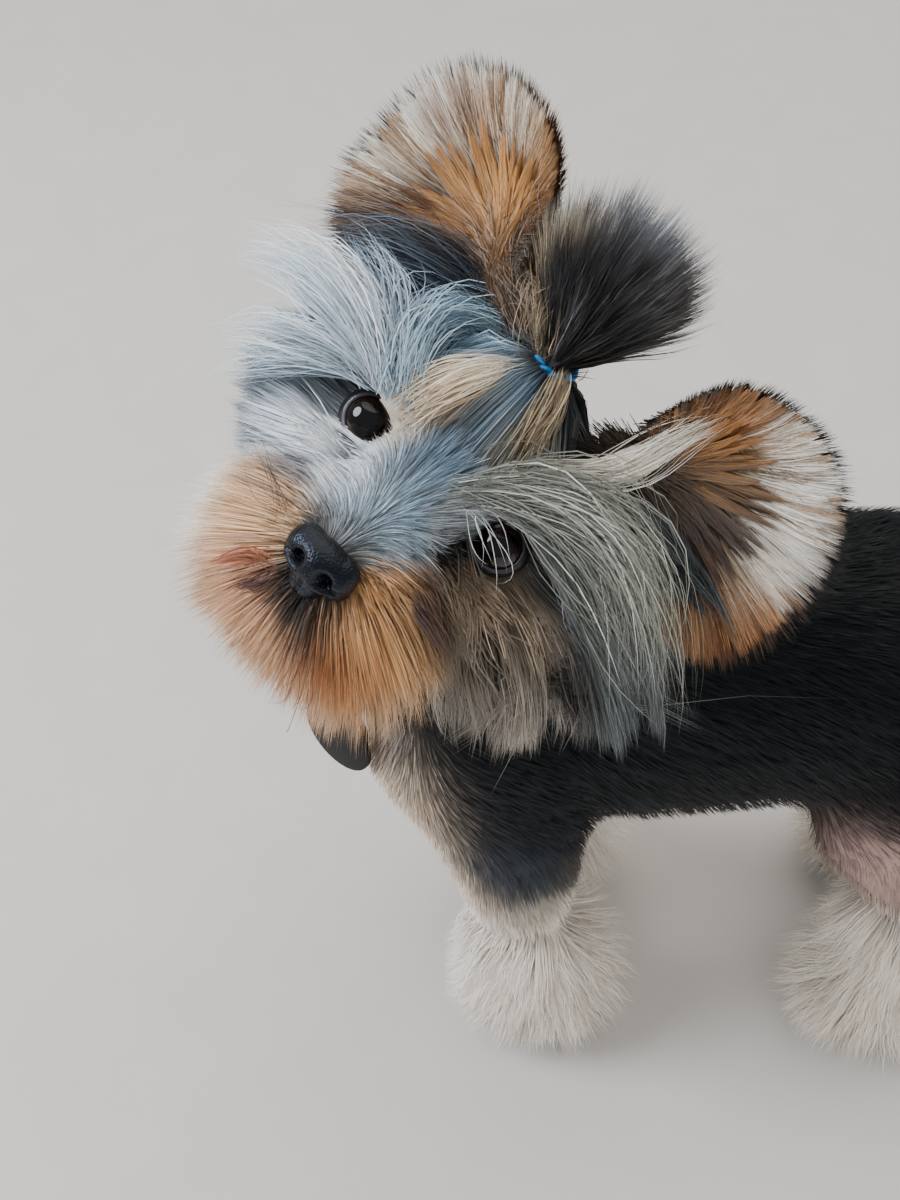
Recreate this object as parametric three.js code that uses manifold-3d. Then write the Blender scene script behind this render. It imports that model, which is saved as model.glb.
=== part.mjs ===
// A Yorkshire terrier in a trimmed coat. It stands with its head raised, turned to its left and tilted.
// Millimetres, +Z up. The dog faces -Y and its left side is +X, and its feet stand on Z = 0.
// Each solid is the outline of the coat, out to the tips of the hair: hair and flesh are one volume.
import * as THREE from "three";
import { mergeVertices } from "three/addons/utils/BufferGeometryUtils.js";
import Module from "manifold-3d";

const wasm = await Module();
wasm.setup();

// Driving dimensions
const SEAM = 0.3; // the thin cut between two named parts
const EYE_SPACING = 45; // pupil to pupil
const EYE_RADIUS = 8.2;
const TRUNK_AXIS = 142; // height of the middle of the ribs, 50 below the top of the back
const RIBS_HALF_WIDTH = 46;
const RIBS_HALF_DEPTH = 51;
const FORE_FOOT_X = 30.5; // half the distance between the forefeet
const FORE_FOOT_Y = { left: 0, right: 5 };
const FORE_CUFF = 58; // height of the top of the fore boots
const HIND_CUFF = 70;
const HIND_FOOT_X = 33.5;
const HIND_FOOT_Y = { left: 113, right: 127 };
const BOOT_HALF_WIDTH = 30; // the brushed-out hair round each foot
const BOOT_HALF_LENGTH = 34.5;
const EAR_THICKNESS = 7;
const BAND_RADIUS = 5.4; // the elastic round the topknot, to the middle of its cord
const BAND_CORD = 1.3;
const COLLAR_HALF_WIDTH = 4.5;
const TAG_RADIUS = 12.5;
const TAG_THICKNESS = 1.4;

// How the head is held: the point midway between the eyes, then the turn, the raise and the tilt
const EYES_MIDDLE = new THREE.Vector3(41, -38.3, 249.1);
const HEAD_TURN = THREE.MathUtils.degToRad(65.3); // to the dog's left
const HEAD_RAISE = THREE.MathUtils.degToRad(28.1);
const HEAD_TILT = THREE.MathUtils.degToRad(27.9); // left ear down

const COLOURS = {
  steel: 0x23272e, // dark steel-blue body coat
  silver: 0x7c7f80, // the grey fall of the head
  tan: 0xb98252,
  cream: 0xdccdba,
  black: 0x101114,
  blue: 0x1273cf,
  horn: 0x0b0b0d,
  wire: 0x9a9c9e,
};

// A point of the body, as left of the middle, distance behind the forefeet, and height.
const at = (left, behind, up) => new THREE.Vector3(left, behind, up);
// A point of the head, as left, forward and up from the middle of the eyes.
const onHead = (left, forward, up) => new THREE.Vector3(left, -forward, up);

// Signed distances, negative inside

// An ellipsoid, turned by Euler angles in degrees.
function ellipsoid(centre, radii, turn = [0, 0, 0]) {
  const euler = new THREE.Euler(...turn.map(THREE.MathUtils.degToRad));
  const back = new THREE.Quaternion().setFromEuler(euler).invert();
  const p = new THREE.Vector3();
  const slope = new THREE.Vector3();
  return (q) => {
    p.copy(q).sub(centre).applyQuaternion(back);
    slope.set(p.x / radii.x, p.y / radii.y, p.z / radii.z);
    const k0 = slope.length();
    slope.set(p.x / radii.x ** 2, p.y / radii.y ** 2, p.z / radii.z ** 2);
    const k1 = slope.length();
    return k1 < 1e-9 ? -Math.min(radii.x, radii.y, radii.z) : (k0 * (k0 - 1)) / k1;
  };
}

// A limb that tapers from radius ra at a to rb at b.
function taper(a, b, ra, rb) {
  const axis = b.clone().sub(a);
  const p = new THREE.Vector3();
  return (q) => {
    p.copy(q).sub(a);
    const t = THREE.MathUtils.clamp(p.dot(axis) / axis.lengthSq(), 0, 1);
    return p.addScaledVector(axis, -t).length() - THREE.MathUtils.lerp(ra, rb, t);
  };
}

// Two volumes run together over a width of about k.
function blend(k, ...fields) {
  return (q) =>
    fields
      .map((field) => field(q))
      .reduce((a, b) => {
        const h = Math.max(k - Math.abs(a - b), 0) / k;
        return Math.min(a, b) - h * h * k * 0.25;
      });
}

// A field with soft hollows pressed into it.
function hollow(k, field, ...tools) {
  return (q) =>
    tools
      .map((tool) => -tool(q))
      .reduce((a, b) => {
        const h = Math.max(k - Math.abs(a - b), 0) / k;
        return Math.max(a, b) + h * h * k * 0.25;
      }, field(q));
}

const grown = (field, by) => (q) => field(q) - by;

// Meshes wrapped on a field

// The last point on the way out from `from` that is still inside the field.
function surfaceAlong(field, from, direction, reach) {
  const steps = 48;
  const p = new THREE.Vector3();
  const inside = (t) => field(p.copy(from).addScaledVector(direction, t)) < 0;
  let low = 0;
  for (let i = 1; i <= steps; i++) {
    const t = (reach * i) / steps;
    if (!inside(t)) break;
    low = t;
  }
  let high = low + reach / steps;
  for (let i = 0; i < 18; i++) {
    const middle = (low + high) / 2;
    if (inside(middle)) low = middle;
    else high = middle;
  }
  return from.clone().addScaledVector(direction, Math.max(low, 0.05));
}

// The positions of a three.js geometry with its shared corners merged.
function bare(geometry) {
  const g = geometry.clone();
  g.deleteAttribute("normal");
  g.deleteAttribute("uv");
  return mergeVertices(g, 1e-4);
}

// A ball of triangles pushed out from a centre onto the field.
function wrapBall(field, centre, detail, reach = 110) {
  const g = bare(new THREE.IcosahedronGeometry(1, detail));
  const position = g.getAttribute("position");
  const direction = new THREE.Vector3();
  for (let i = 0; i < position.count; i++) {
    direction.fromBufferAttribute(position, i).normalize();
    const p = surfaceAlong(field, centre, direction, reach);
    position.setXYZ(i, p.x, p.y, p.z);
  }
  return g;
}

// A capsule bent along a few spine points and pushed out from them onto the field.
function wrapLimb(field, points, { sides = 20, rings = 10, cap = 4, reach = 90 } = {}) {
  const spine = new THREE.CatmullRomCurve3(points);
  const g = bare(new THREE.CapsuleGeometry(1, 1, cap, sides, rings));
  const position = g.getAttribute("position");
  const p = new THREE.Vector3();
  const outward = new THREE.Vector3();
  const upright = new THREE.Vector3(0, 1, 0);
  for (let i = 0; i < position.count; i++) {
    p.fromBufferAttribute(position, i);
    const y = THREE.MathUtils.clamp(p.y, -0.5, 0.5);
    const t = y + 0.5;
    const tangent = spine.getTangent(t);
    outward.set(p.x, p.y - y, p.z).normalize();
    outward.applyQuaternion(new THREE.Quaternion().setFromUnitVectors(upright, tangent));
    const q = surfaceAlong(field, spine.getPoint(t), outward, reach);
    position.setXYZ(i, q.x, q.y, q.z);
  }
  return g;
}

// Solids

function solid(geometry) {
  const g = bare(geometry);
  const mesh = new wasm.Mesh({
    numProp: 3,
    vertProperties: new Float32Array(g.getAttribute("position").array),
    triVerts: new Uint32Array(g.index.array),
  });
  return new wasm.Manifold(mesh);
}

function geometryOf(made) {
  const mesh = made.getMesh();
  const g = new THREE.BufferGeometry();
  g.setAttribute("position", new THREE.BufferAttribute(new Float32Array(mesh.vertProperties), 3));
  g.setIndex(new THREE.BufferAttribute(new Uint32Array(mesh.triVerts), 1));
  return g;
}

// A geometry less its neighbours. The largest body that is left is the part.
function less(geometry, ...cutters) {
  const left = cutters.reduce((made, cutter) => made.subtract(solid(cutter)), solid(geometry));
  const bodies = left.decompose().sort((a, b) => b.volume() - a.volume());
  return geometryOf(bodies[0]);
}

// The part of a geometry that lies on the side of a plane that `normal` points to.
function beyond(geometry, point, normal) {
  const size = 800;
  const slab = new THREE.BoxGeometry(size, size, size);
  slab.translate(0, 0, -size / 2);
  const turn = new THREE.Quaternion().setFromUnitVectors(at(0, 0, 1), normal.clone().normalize());
  slab.applyQuaternion(turn);
  slab.translate(point.x, point.y, point.z);
  return less(geometry, slab);
}

const dog = new THREE.Group();

function part(group, name, colour, geometry, roughness = 0.85) {
  const material = new THREE.MeshStandardMaterial({ color: colour, roughness, metalness: 0 });
  const mesh = new THREE.Mesh(geometry, material);
  mesh.name = name;
  group.add(mesh);
  return mesh;
}

// Head, in its own frame

const head = new THREE.Group();
head.position.copy(EYES_MIDDLE);
head.rotation.set(-HEAD_RAISE, HEAD_TILT, HEAD_TURN, "ZXY");
dog.add(head);
head.updateMatrix();

const SIDES = [
  ["left", 1],
  ["right", -1],
];

// A shape that can be wrapped as a solid, or a little larger as the room its neighbours leave for it.
function shape(field, centre, detail, reach = 110) {
  return {
    solid: () => wrapBall(field, centre, detail, reach),
    room: () => wrapBall(grown(field, SEAM), centre, detail, reach),
  };
}

function limb(field, points, options) {
  return {
    solid: () => wrapLimb(field, points, options),
    room: () => wrapLimb(grown(field, SEAM), points, options),
  };
}

// Eyes: a ball whose front shows between the lids
const eyeCentre = (side) => onHead((side * EYE_SPACING) / 2, 1 - EYE_RADIUS, 0);
const eyeOf = (side) =>
  shape(ellipsoid(eyeCentre(side), at(EYE_RADIUS, EYE_RADIUS, EYE_RADIUS)), eyeCentre(side), 2, 20);

// Skull with its coat: crown, brows, bridge of the nose, nape, jaw and cheeks
const BAND_PLACE = onHead(0, -29, 37);
const skullField = blend(
  12,
  ellipsoid(onHead(0, -30, 1), at(37, 38, 29)),
  ellipsoid(onHead(0, -26, 18), at(26, 22, 14)),
  ellipsoid(onHead(0, -54, -6), at(34, 24, 32)),
  ellipsoid(onHead(0, 10, -7), at(12, 22, 9)),
  ellipsoid(onHead(0, -10, -30), at(33, 28, 22)),
  ellipsoid(onHead(36, -20, -18), at(22, 22, 26)),
  ellipsoid(onHead(-36, -20, -16), at(22, 22, 26)),
  ellipsoid(onHead(20, -9, 9), at(14, 10, 9)),
  ellipsoid(onHead(-20, -9, 9), at(14, 10, 9)),
);
const socketOf = (side) => ellipsoid(onHead((side * EYE_SPACING) / 2, 9, -1), at(9, 15, 8.5));
const skull = shape(hollow(5, skullField, socketOf(1), socketOf(-1)), onHead(0, -28, -6), 5);

// Muzzle: the hair is scissored to a wide ball round the nose
const muzzleField = blend(
  10,
  ellipsoid(onHead(-0.5, 17, -33.5), at(38, 20.5, 27.5)),
  ellipsoid(onHead(0, 26, -26), at(22, 12, 16)),
  ellipsoid(onHead(-20, 18, -32), at(20, 17, 23)),
  ellipsoid(onHead(19, 18, -33), at(20, 17, 23)),
);
const muzzle = shape(muzzleField, onHead(0, 14, -32), 4, 70);

// Nose leather with two nostrils
const NOSE = onHead(0, 39, -15);
const onNose = (left, forward, up) => NOSE.clone().add(onHead(left, forward, up));
const noseField = blend(
  3,
  ellipsoid(NOSE, at(9, 6, 6.5)),
  ellipsoid(onNose(5, -1, 0.5), at(5, 5, 5.5)),
  ellipsoid(onNose(-5, -1, 0.5), at(5, 5, 5.5)),
  ellipsoid(onNose(0, -1, -5), at(5, 4.5, 5)),
);
const nose = shape(noseField, NOSE, 2, 20);
const nostril = (side) => {
  const centre = onNose(side * 4.3, 5.2, -0.6);
  return wrapBall(ellipsoid(centre, at(1.8, 3.2, 2.2)), centre, 1, 8);
};

// Cheek hair, brushed out and back from the face. The left fall is scissored level above the shoulder
const heightOf = (q) => q.clone().applyMatrix4(head.matrix).z;
const FALL_END = 186;
const leftFall = blend(
  14,
  ellipsoid(onHead(56, -30, -14), at(33, 14, 28), [0, 38, 0]),
  ellipsoid(onHead(45, -16, -32), at(22, 16, 22)),
  ellipsoid(onHead(40, -40, 10), at(26, 18, 20)),
  ellipsoid(onHead(68, -35, -9), at(19, 13, 24), [0, 30, 0]),
);
const cheekFields = {
  left: (q) => Math.max(leftFall(q), FALL_END - heightOf(q)),
  right: blend(
    14,
    ellipsoid(onHead(-46, -28, -10), at(25, 19, 30), [0, -20, 0]),
    ellipsoid(onHead(-56, -24, 8), at(22, 12, 14), [0, 25, 0]),
    ellipsoid(onHead(-38, -40, 10), at(24, 18, 20)),
  ),
};
const cheeks = {
  left: shape(cheekFields.left, onHead(52, -30, -8), 3),
  right: shape(cheekFields.right, onHead(-44, -30, -4), 3),
};

// Ears: upright fans of hair, dished to the front. The lean is from the upright, out to the side.
function ear({ centre, halfLength, halfWidth, lean, dish, thickness = EAR_THICKNESS }) {
  const side = Math.sign(centre.x);
  const angle = THREE.MathUtils.degToRad(lean);
  const along = new THREE.Vector3(side * Math.sin(angle), 0.1, Math.cos(angle)).normalize();
  const facing = new THREE.Vector3(side * 0.3, -1, 0).projectOnPlane(along).normalize();
  const across = new THREE.Vector3().crossVectors(along, facing);
  const g = bare(new THREE.IcosahedronGeometry(1, 3));
  const position = g.getAttribute("position");
  const p = new THREE.Vector3();
  for (let i = 0; i < position.count; i++) {
    p.fromBufferAttribute(position, i);
    const widening = 0.72 + 0.28 * THREE.MathUtils.smoothstep(p.y, -1.1, 0.1);
    const cup = dish * (p.x * p.x * widening + 0.35 * p.y * p.y);
    const q = centre.clone();
    q.addScaledVector(along, p.y * halfLength);
    q.addScaledVector(across, p.x * halfWidth * widening);
    q.addScaledVector(facing, (p.z * thickness) / 2 + cup);
    position.setXYZ(i, q.x, q.y, q.z);
  }
  return g;
}
const EARS = {
  left: { centre: onHead(56, -38, 36), halfLength: 31, halfWidth: 38, lean: 58, dish: 12 },
  right: { centre: onHead(-48, -38, 50), halfLength: 32, halfWidth: 36, lean: 56, dish: 12 },
};

// Topknot: the crown hair drawn up through the elastic, from where it flares
const TOPKNOT_LEAN = THREE.MathUtils.degToRad(20); // forward
const TOPKNOT_PROFILE = [
  [0, -9],
  [11, -9],
  [5.5, -3.5],
  [3.4, 0],
  [5, 4],
  [11, 12],
  [18, 22],
  [21.5, 32],
  [21, 42],
  [15, 49.5],
  [7, 52.5],
  [0, 53],
];
const stand = (g) => g.rotateX(Math.PI / 2).rotateX(TOPKNOT_LEAN).translate(...BAND_PLACE);
const flare = new THREE.LatheGeometry(
  TOPKNOT_PROFILE.map(([r, y]) => new THREE.Vector2(r, y)),
  12,
);
const topknot = stand(flare);
const bandOf = (cord) => stand(new THREE.TorusGeometry(BAND_RADIUS, cord, 6, 12).rotateX(Math.PI / 2));

const headRooms = [skull.room(), muzzle.room(), nose.room()];
part(head, "nose", COLOURS.horn, less(nose.solid(), nostril(1), nostril(-1)), 0.35);
part(head, "muzzle", COLOURS.tan, less(muzzle.solid(), nose.room()));
const eyeRooms = [eyeOf(1).room(), eyeOf(-1).room()];
const skullCutters = [muzzle.room(), nose.room(), ...eyeRooms, bandOf(BAND_CORD + SEAM)];
part(head, "head", COLOURS.silver, less(skull.solid(), ...skullCutters));
for (const [name, side] of SIDES) {
  part(head, `eye_${name}`, COLOURS.black, eyeOf(side).solid(), 0.05);
  part(head, `ear_${name}`, COLOURS.tan, less(ear(EARS[name]), skull.room()));
}
for (const [name] of SIDES) {
  const { halfLength, halfWidth } = EARS[name];
  const roomForEar = ear({
    ...EARS[name],
    halfLength: halfLength + 1,
    halfWidth: halfWidth + 1,
    thickness: EAR_THICKNESS + 3,
  });
  part(head, `cheek_${name}`, COLOURS.silver, less(cheeks[name].solid(), ...headRooms, roomForEar));
}
part(head, "topknot", COLOURS.steel, less(topknot, skull.room(), bandOf(BAND_CORD + SEAM)));
part(head, "topknot_band", COLOURS.blue, bandOf(BAND_CORD), 0.4);

// Body, in the frame of the dog

const trunkField = blend(
  16,
  ellipsoid(at(0, 28, TRUNK_AXIS), at(RIBS_HALF_WIDTH, 62, RIBS_HALF_DEPTH)),
  ellipsoid(at(0, -22, 140), at(37, 39, 43)),
  ellipsoid(at(0, 84, TRUNK_AXIS + 3), at(45, 52, 47)),
  ellipsoid(at(0, 116, 148), at(41, 36, 42)),
);
const trunkLine = [at(0, -16, 141), at(0, 30, 143), at(0, 80, 145), at(0, 120, 148)];
const trunk = limb(trunkField, trunkLine, { sides: 16, rings: 7, cap: 3 });

const neckField = blend(
  12,
  taper(at(1, -8, 158), at(14, -18, 212), 39, 36),
  ellipsoid(at(12, -37, 175), at(31, 31.5, 24)),
);
const neck = limb(neckField, [at(5, -14, 165), at(13, -20, 205)], { sides: 12, rings: 2, cap: 3 });

const tailField = blend(
  10,
  taper(at(0, 134, 172), at(0, 162, 200), 15, 13),
  taper(at(0, 162, 200), at(0, 180, 232), 14, 8),
);
const tail = limb(tailField, [at(0, 140, 177), at(0, 163, 202), at(0, 178, 229)], {
  sides: 10,
  rings: 5,
  cap: 2,
});

// Upper legs are clipped short, and each ends in a sleeve that drops into its boot of long hair
const foreField = (side, footY) =>
  blend(
    12,
    taper(at(side * 26, footY - 37, 140), at(side * 29, footY - 15, 102), 23, 22),
    ellipsoid(at(side * 28, footY - 8, 128), at(18, 28, 32)),
    taper(at(side * 29, footY - 12, 100), at(side * 29, footY - 8, 44), 22, 17),
  );
const foreLine = (side, footY) => [
  at(side * 27, footY - 26, 128),
  at(side * 29, footY - 13, 96),
  at(side * 29, footY - 8, 50),
];
const foreOf = (side, footY) =>
  limb(foreField(side, footY), foreLine(side, footY), { sides: 12, rings: 5, cap: 3 });

const hindField = (side, footY) =>
  blend(
    12,
    ellipsoid(at(side * 28, footY - 5, 130), at(20, 36, 39), [10, 0, 0]),
    taper(at(side * 33, footY - 17, 106), at(side * 34, footY + 12, 66), 19, 14),
    taper(at(side * 34, footY + 12, 66), at(side * HIND_FOOT_X, footY + 4, 42), 14, 13),
  );
const hindLine = (side, footY) => [
  at(side * 28, footY - 4, 130),
  at(side * 33, footY - 12, 100),
  at(side * 34, footY + 10, 58),
];
const hindOf = (side, footY) =>
  limb(hindField(side, footY), hindLine(side, footY), { sides: 11, rings: 6, cap: 2 });

// Boots: hair brushed out round each foot, standing flat on the floor
const foreBootField = (side, footY) =>
  blend(
    12,
    ellipsoid(at(side * FORE_FOOT_X, footY, 22), at(BOOT_HALF_WIDTH, BOOT_HALF_LENGTH, 23.5)),
    ellipsoid(at(side * FORE_FOOT_X, footY, 42), at(25, 29, 24)),
  );
const foreBootOf = (side, footY) =>
  shape(foreBootField(side, footY), at(side * FORE_FOOT_X, footY, 28), 3);
const hindBootField = (side, footY) =>
  blend(
    14,
    ellipsoid(at(side * HIND_FOOT_X, footY, 22), at(BOOT_HALF_WIDTH + 2, BOOT_HALF_LENGTH + 1, 23.5)),
    ellipsoid(at(side * (HIND_FOOT_X + 1), footY + 7, 50), at(26, 31, 31)),
  );
const hindBootOf = (side, footY) =>
  shape(hindBootField(side, footY), at(side * HIND_FOOT_X, footY, 32), 3);
const UP = at(0, 0, 1);
const DOWN = at(0, 0, -1);
const standing = (g, cuff) => beyond(beyond(g, at(0, 0, 0), UP), at(0, 0, cuff - SEAM), DOWN);
const sleeve = (g, cuff) => beyond(g, at(0, 0, cuff), UP);

// Collar: a flat strap that lies in the hair of the neck, lower in front, with a wire loop for the tags
const COLLAR_CENTRE = at(10, -23, 176);
const COLLAR_RADII = { across: 39, along: 48 };
const COLLAR_DROP = THREE.MathUtils.degToRad(10);
function strap(inner, outer, halfWidth) {
  const g = new THREE.TorusGeometry(1, 0.5, 8, 16);
  const position = g.getAttribute("position");
  for (let i = 0; i < position.count; i++) {
    const x = position.getX(i);
    const y = position.getY(i);
    const ring = Math.hypot(x, y);
    const out = THREE.MathUtils.clamp((ring - 1) * 2.8, -1, 1);
    const up = THREE.MathUtils.clamp(position.getZ(i) * 2.8, -1, 1);
    const offset = THREE.MathUtils.mapLinear(out, -1, 1, inner, outer);
    const across = (COLLAR_RADII.across + offset) / ring;
    const along = (COLLAR_RADII.along + offset) / ring;
    position.setXYZ(i, x * across, y * along, up * halfWidth);
  }
  return g.rotateX(COLLAR_DROP).translate(...COLLAR_CENTRE);
}

// Two bare name tags on a split ring, which hangs from the loop of the collar
const TAGS_FACE = at(0.75, -0.66, 0);
const RING_RADIUS = 4.2;
const LOOP_PLACE = at(29.9, -63.8, 162);
const RING_PLACE = LOOP_PLACE.clone().add(at(0, 0, -RING_RADIUS));
const HOLE_INSET = 2.8;
const TAGS = [
  { name: "tag", hangsAt: -75, radius: TAG_RADIUS },
  { name: "tag_behind", hangsAt: -112, radius: 9 },
];
function turned(g, axis) {
  return g.applyQuaternion(new THREE.Quaternion().setFromUnitVectors(UP, axis.clone().normalize()));
}
const ringOf = (radius, wire, axis, centre) =>
  turned(new THREE.TorusGeometry(radius, wire, 5, 12), axis).translate(...centre);
function tagOf({ hangsAt, radius }) {
  const angle = THREE.MathUtils.degToRad(hangsAt);
  const hole = RING_PLACE.clone();
  hole.addScaledVector(TAGS_FACE, RING_RADIUS * Math.cos(angle));
  hole.addScaledVector(UP, RING_RADIUS * Math.sin(angle));
  const disc = new THREE.CylinderGeometry(radius, radius, TAG_THICKNESS, 18).rotateX(Math.PI / 2);
  const pin = new THREE.CylinderGeometry(1.6, 1.6, 4 * TAG_THICKNESS, 8).rotateX(Math.PI / 2);
  const hung = turned(disc, TAGS_FACE).translate(0, 0, HOLE_INSET - radius);
  return less(hung, turned(pin, TAGS_FACE)).translate(...hole);
}

const placed = (g) => g.clone().applyMatrix4(head.matrix);
const roomsOfHead = [...headRooms, cheeks.left.room(), cheeks.right.room()].map(placed);
const collarRoom = strap(-1.2 - SEAM, 12, COLLAR_HALF_WIDTH + SEAM);
part(dog, "neck", COLOURS.silver, less(neck.solid(), collarRoom, ...roomsOfHead));
const loop = ringOf(3.4, 0.7, TAGS_FACE, LOOP_PLACE);
const collar = solid(strap(-1.2, 1.2, COLLAR_HALF_WIDTH)).add(solid(loop));
part(dog, "collar", COLOURS.black, geometryOf(collar));
part(dog, "tag_ring", COLOURS.wire, ringOf(RING_RADIUS, 0.6, at(0.66, 0.75, 0), RING_PLACE), 0.3);
for (const tag of TAGS) part(dog, tag.name, COLOURS.black, tagOf(tag), 0.4);
part(dog, "trunk", COLOURS.steel, less(trunk.solid(), neck.room(), collarRoom));
part(dog, "tail", COLOURS.steel, less(tail.solid(), trunk.room()));
for (const [name, side] of SIDES) {
  const fore = foreOf(side, FORE_FOOT_Y[name]);
  const hind = hindOf(side, HIND_FOOT_Y[name]);
  const foreBoot = standing(foreBootOf(side, FORE_FOOT_Y[name]).solid(), FORE_CUFF);
  const hindBoot = standing(hindBootOf(side, HIND_FOOT_Y[name]).solid(), HIND_CUFF);
  const foreSleeve = sleeve(fore.solid(), FORE_CUFF);
  part(dog, `foreleg_${name}`, COLOURS.tan, less(foreSleeve, trunk.room(), neck.room(), collarRoom));
  part(dog, `fore_boot_${name}`, COLOURS.cream, foreBoot);
  part(dog, `hindleg_${name}`, COLOURS.tan, less(sleeve(hind.solid(), HIND_CUFF), trunk.room()));
  part(dog, `hind_boot_${name}`, COLOURS.cream, hindBoot);
}

// The origin is under the middle of the dog, on the floor
const box = new THREE.Box3().setFromObject(dog, true);
const middle = box.getCenter(new THREE.Vector3());
dog.position.set(-middle.x, -middle.y, 0);

export default dog;
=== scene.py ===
import math

import bmesh
import bpy
import numpy as np
from mathutils import Matrix, Vector
from mathutils.bvhtree import BVHTree
from mathutils.kdtree import KDTree


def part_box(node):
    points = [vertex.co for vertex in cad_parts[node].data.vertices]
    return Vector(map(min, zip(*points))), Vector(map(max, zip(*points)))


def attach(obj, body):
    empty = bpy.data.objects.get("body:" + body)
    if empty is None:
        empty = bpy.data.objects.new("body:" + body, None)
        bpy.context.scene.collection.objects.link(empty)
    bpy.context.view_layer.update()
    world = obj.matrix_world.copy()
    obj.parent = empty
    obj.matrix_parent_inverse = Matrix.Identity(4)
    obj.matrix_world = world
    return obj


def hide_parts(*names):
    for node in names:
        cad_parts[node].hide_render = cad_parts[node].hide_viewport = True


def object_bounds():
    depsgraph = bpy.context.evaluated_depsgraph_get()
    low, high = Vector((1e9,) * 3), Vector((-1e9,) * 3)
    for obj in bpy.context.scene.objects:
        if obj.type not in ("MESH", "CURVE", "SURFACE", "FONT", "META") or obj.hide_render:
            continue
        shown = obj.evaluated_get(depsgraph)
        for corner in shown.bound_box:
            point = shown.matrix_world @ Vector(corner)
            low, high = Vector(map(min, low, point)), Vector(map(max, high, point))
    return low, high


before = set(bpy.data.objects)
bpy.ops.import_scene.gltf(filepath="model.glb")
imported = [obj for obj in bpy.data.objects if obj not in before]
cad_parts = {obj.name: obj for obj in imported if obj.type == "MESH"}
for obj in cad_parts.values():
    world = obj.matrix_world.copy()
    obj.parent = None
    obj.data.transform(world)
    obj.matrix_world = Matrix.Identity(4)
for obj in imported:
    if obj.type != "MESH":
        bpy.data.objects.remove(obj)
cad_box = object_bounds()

# How the dog stands: millimetres from the middle of the trunk, the left forefoot and the floor,
# with X to its left and Y behind. The head is raised, turned to the dog's left and tilted.
# Its own axes are left, forward and up from between the eyes.
MM = 0.001


def middle(node):
    low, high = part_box(node)
    return (low + high) / 2


EYE_RADIUS, EYE_SIDE = 8.2, 22.5
EYE_DEPTH = EYE_RADIUS - 1
HEAD_TURN, HEAD_RAISE, HEAD_TILT = (math.radians(a) for a in (65.3, 28.1, 27.9))
STANCE = Vector((middle("trunk").x, middle("fore_boot_left").y, 0))
HEAD = Matrix.Rotation(HEAD_TURN, 3, "Z") @ Matrix.Rotation(-HEAD_RAISE, 3, "X")
HEAD = HEAD @ Matrix.Rotation(HEAD_TILT, 3, "Y")
FORWARD = HEAD @ Vector((0, -1, 0))
EYES = ((middle("eye_left") + middle("eye_right")) / 2 - STANCE) / MM + FORWARD * EYE_DEPTH
HEAD_AXES = np.array([HEAD @ Vector((1, 0, 0)), FORWARD, HEAD @ Vector((0, 0, 1))])


def on_head(left, forward, up):
    return EYES + HEAD @ Vector((left, -forward, up))


def head_points(places):
    """Points of the body, as left, forward and up on the head."""
    return (places - np.array(EYES)) @ HEAD_AXES.T


def in_place(mesh):
    """Turns millimetres of the dog into metres of the frame."""
    mesh.transform(Matrix.Translation(STANCE) @ Matrix.Scale(MM, 4))
    return mesh


# The view: a hand-held camera above the dog's left side, looking down on it at 45 degrees.
# The floor is a plain pale sheet. The light is soft daylight, from a window before the dog and from above.
CAMERA_PLACE = (354, -32, 523)
LOOKING_DOWN = math.radians(45)
PICTURE_HEIGHT = 1200
FOCAL_PIXELS = 1700
SENSOR = 36
LIT_MIDDLE = Vector((0, 0, 0.15))

lens = bpy.data.cameras.new("camera")
lens.sensor_width = SENSOR
lens.lens = SENSOR * FOCAL_PIXELS / PICTURE_HEIGHT
lens.clip_start = 0.02
camera = bpy.data.objects.new("camera", lens)
camera.location = STANCE + Vector(CAMERA_PLACE) * MM
camera.rotation_euler = (math.pi / 2 - LOOKING_DOWN, 0, math.pi / 2)
bpy.context.scene.collection.objects.link(camera)
bpy.context.scene.camera = camera


def shown(name, mesh):
    piece = bpy.data.objects.new(name, mesh)
    bpy.context.scene.collection.objects.link(piece)
    return piece


def finish_named(name, roughness, **values):
    """A new material with its nodes and shader. `values` fill in more sockets of the shader by name."""
    material = bpy.data.materials.new(name)
    material.use_nodes = True
    tree = material.node_tree
    shader = tree.nodes["Principled BSDF"]
    for socket, value in {"Roughness": roughness, **values}.items():
        shader.inputs[socket].default_value = value
    return material, tree, shader


def node(tree, kind, **values):
    """A node with its settings and unlinked sockets filled in."""
    made = tree.nodes.new(kind)
    for name, value in values.items():
        if name in made.inputs:
            made.inputs[name].default_value = value
        else:
            setattr(made, name, value)
    return made


def join(tree, *links):
    """Links sockets, each as (node, its output, next node, its input)."""
    for source, given, target, taken in links:
        tree.links.new(source.outputs[given], target.inputs[taken])


def dye(code):
    """A linear colour from its web code."""
    parts = [int(code[i : i + 2], 16) / 255 for i in (1, 3, 5)]
    return [c / 12.92 if c <= 0.04045 else ((c + 0.055) / 1.055) ** 2.4 for c in parts]


def grain_of(tree, kind="ShaderNodeTexNoise", **values):
    """A fine pattern that is fixed in the piece."""
    grain = node(tree, kind, **values)
    join(tree, (node(tree, "ShaderNodeTexCoord"), "Object", grain, "Vector"))
    return grain


def two_tones(tree, grain, low, high):
    """Two colours mixed by a grain."""
    tones = node(tree, "ShaderNodeValToRGB")
    for stop, code in zip(tones.color_ramp.elements, (low, high)):
        stop.color = (*dye(code), 1)
    join(tree, (grain, "Fac", tones, "Fac"))
    return tones


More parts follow.
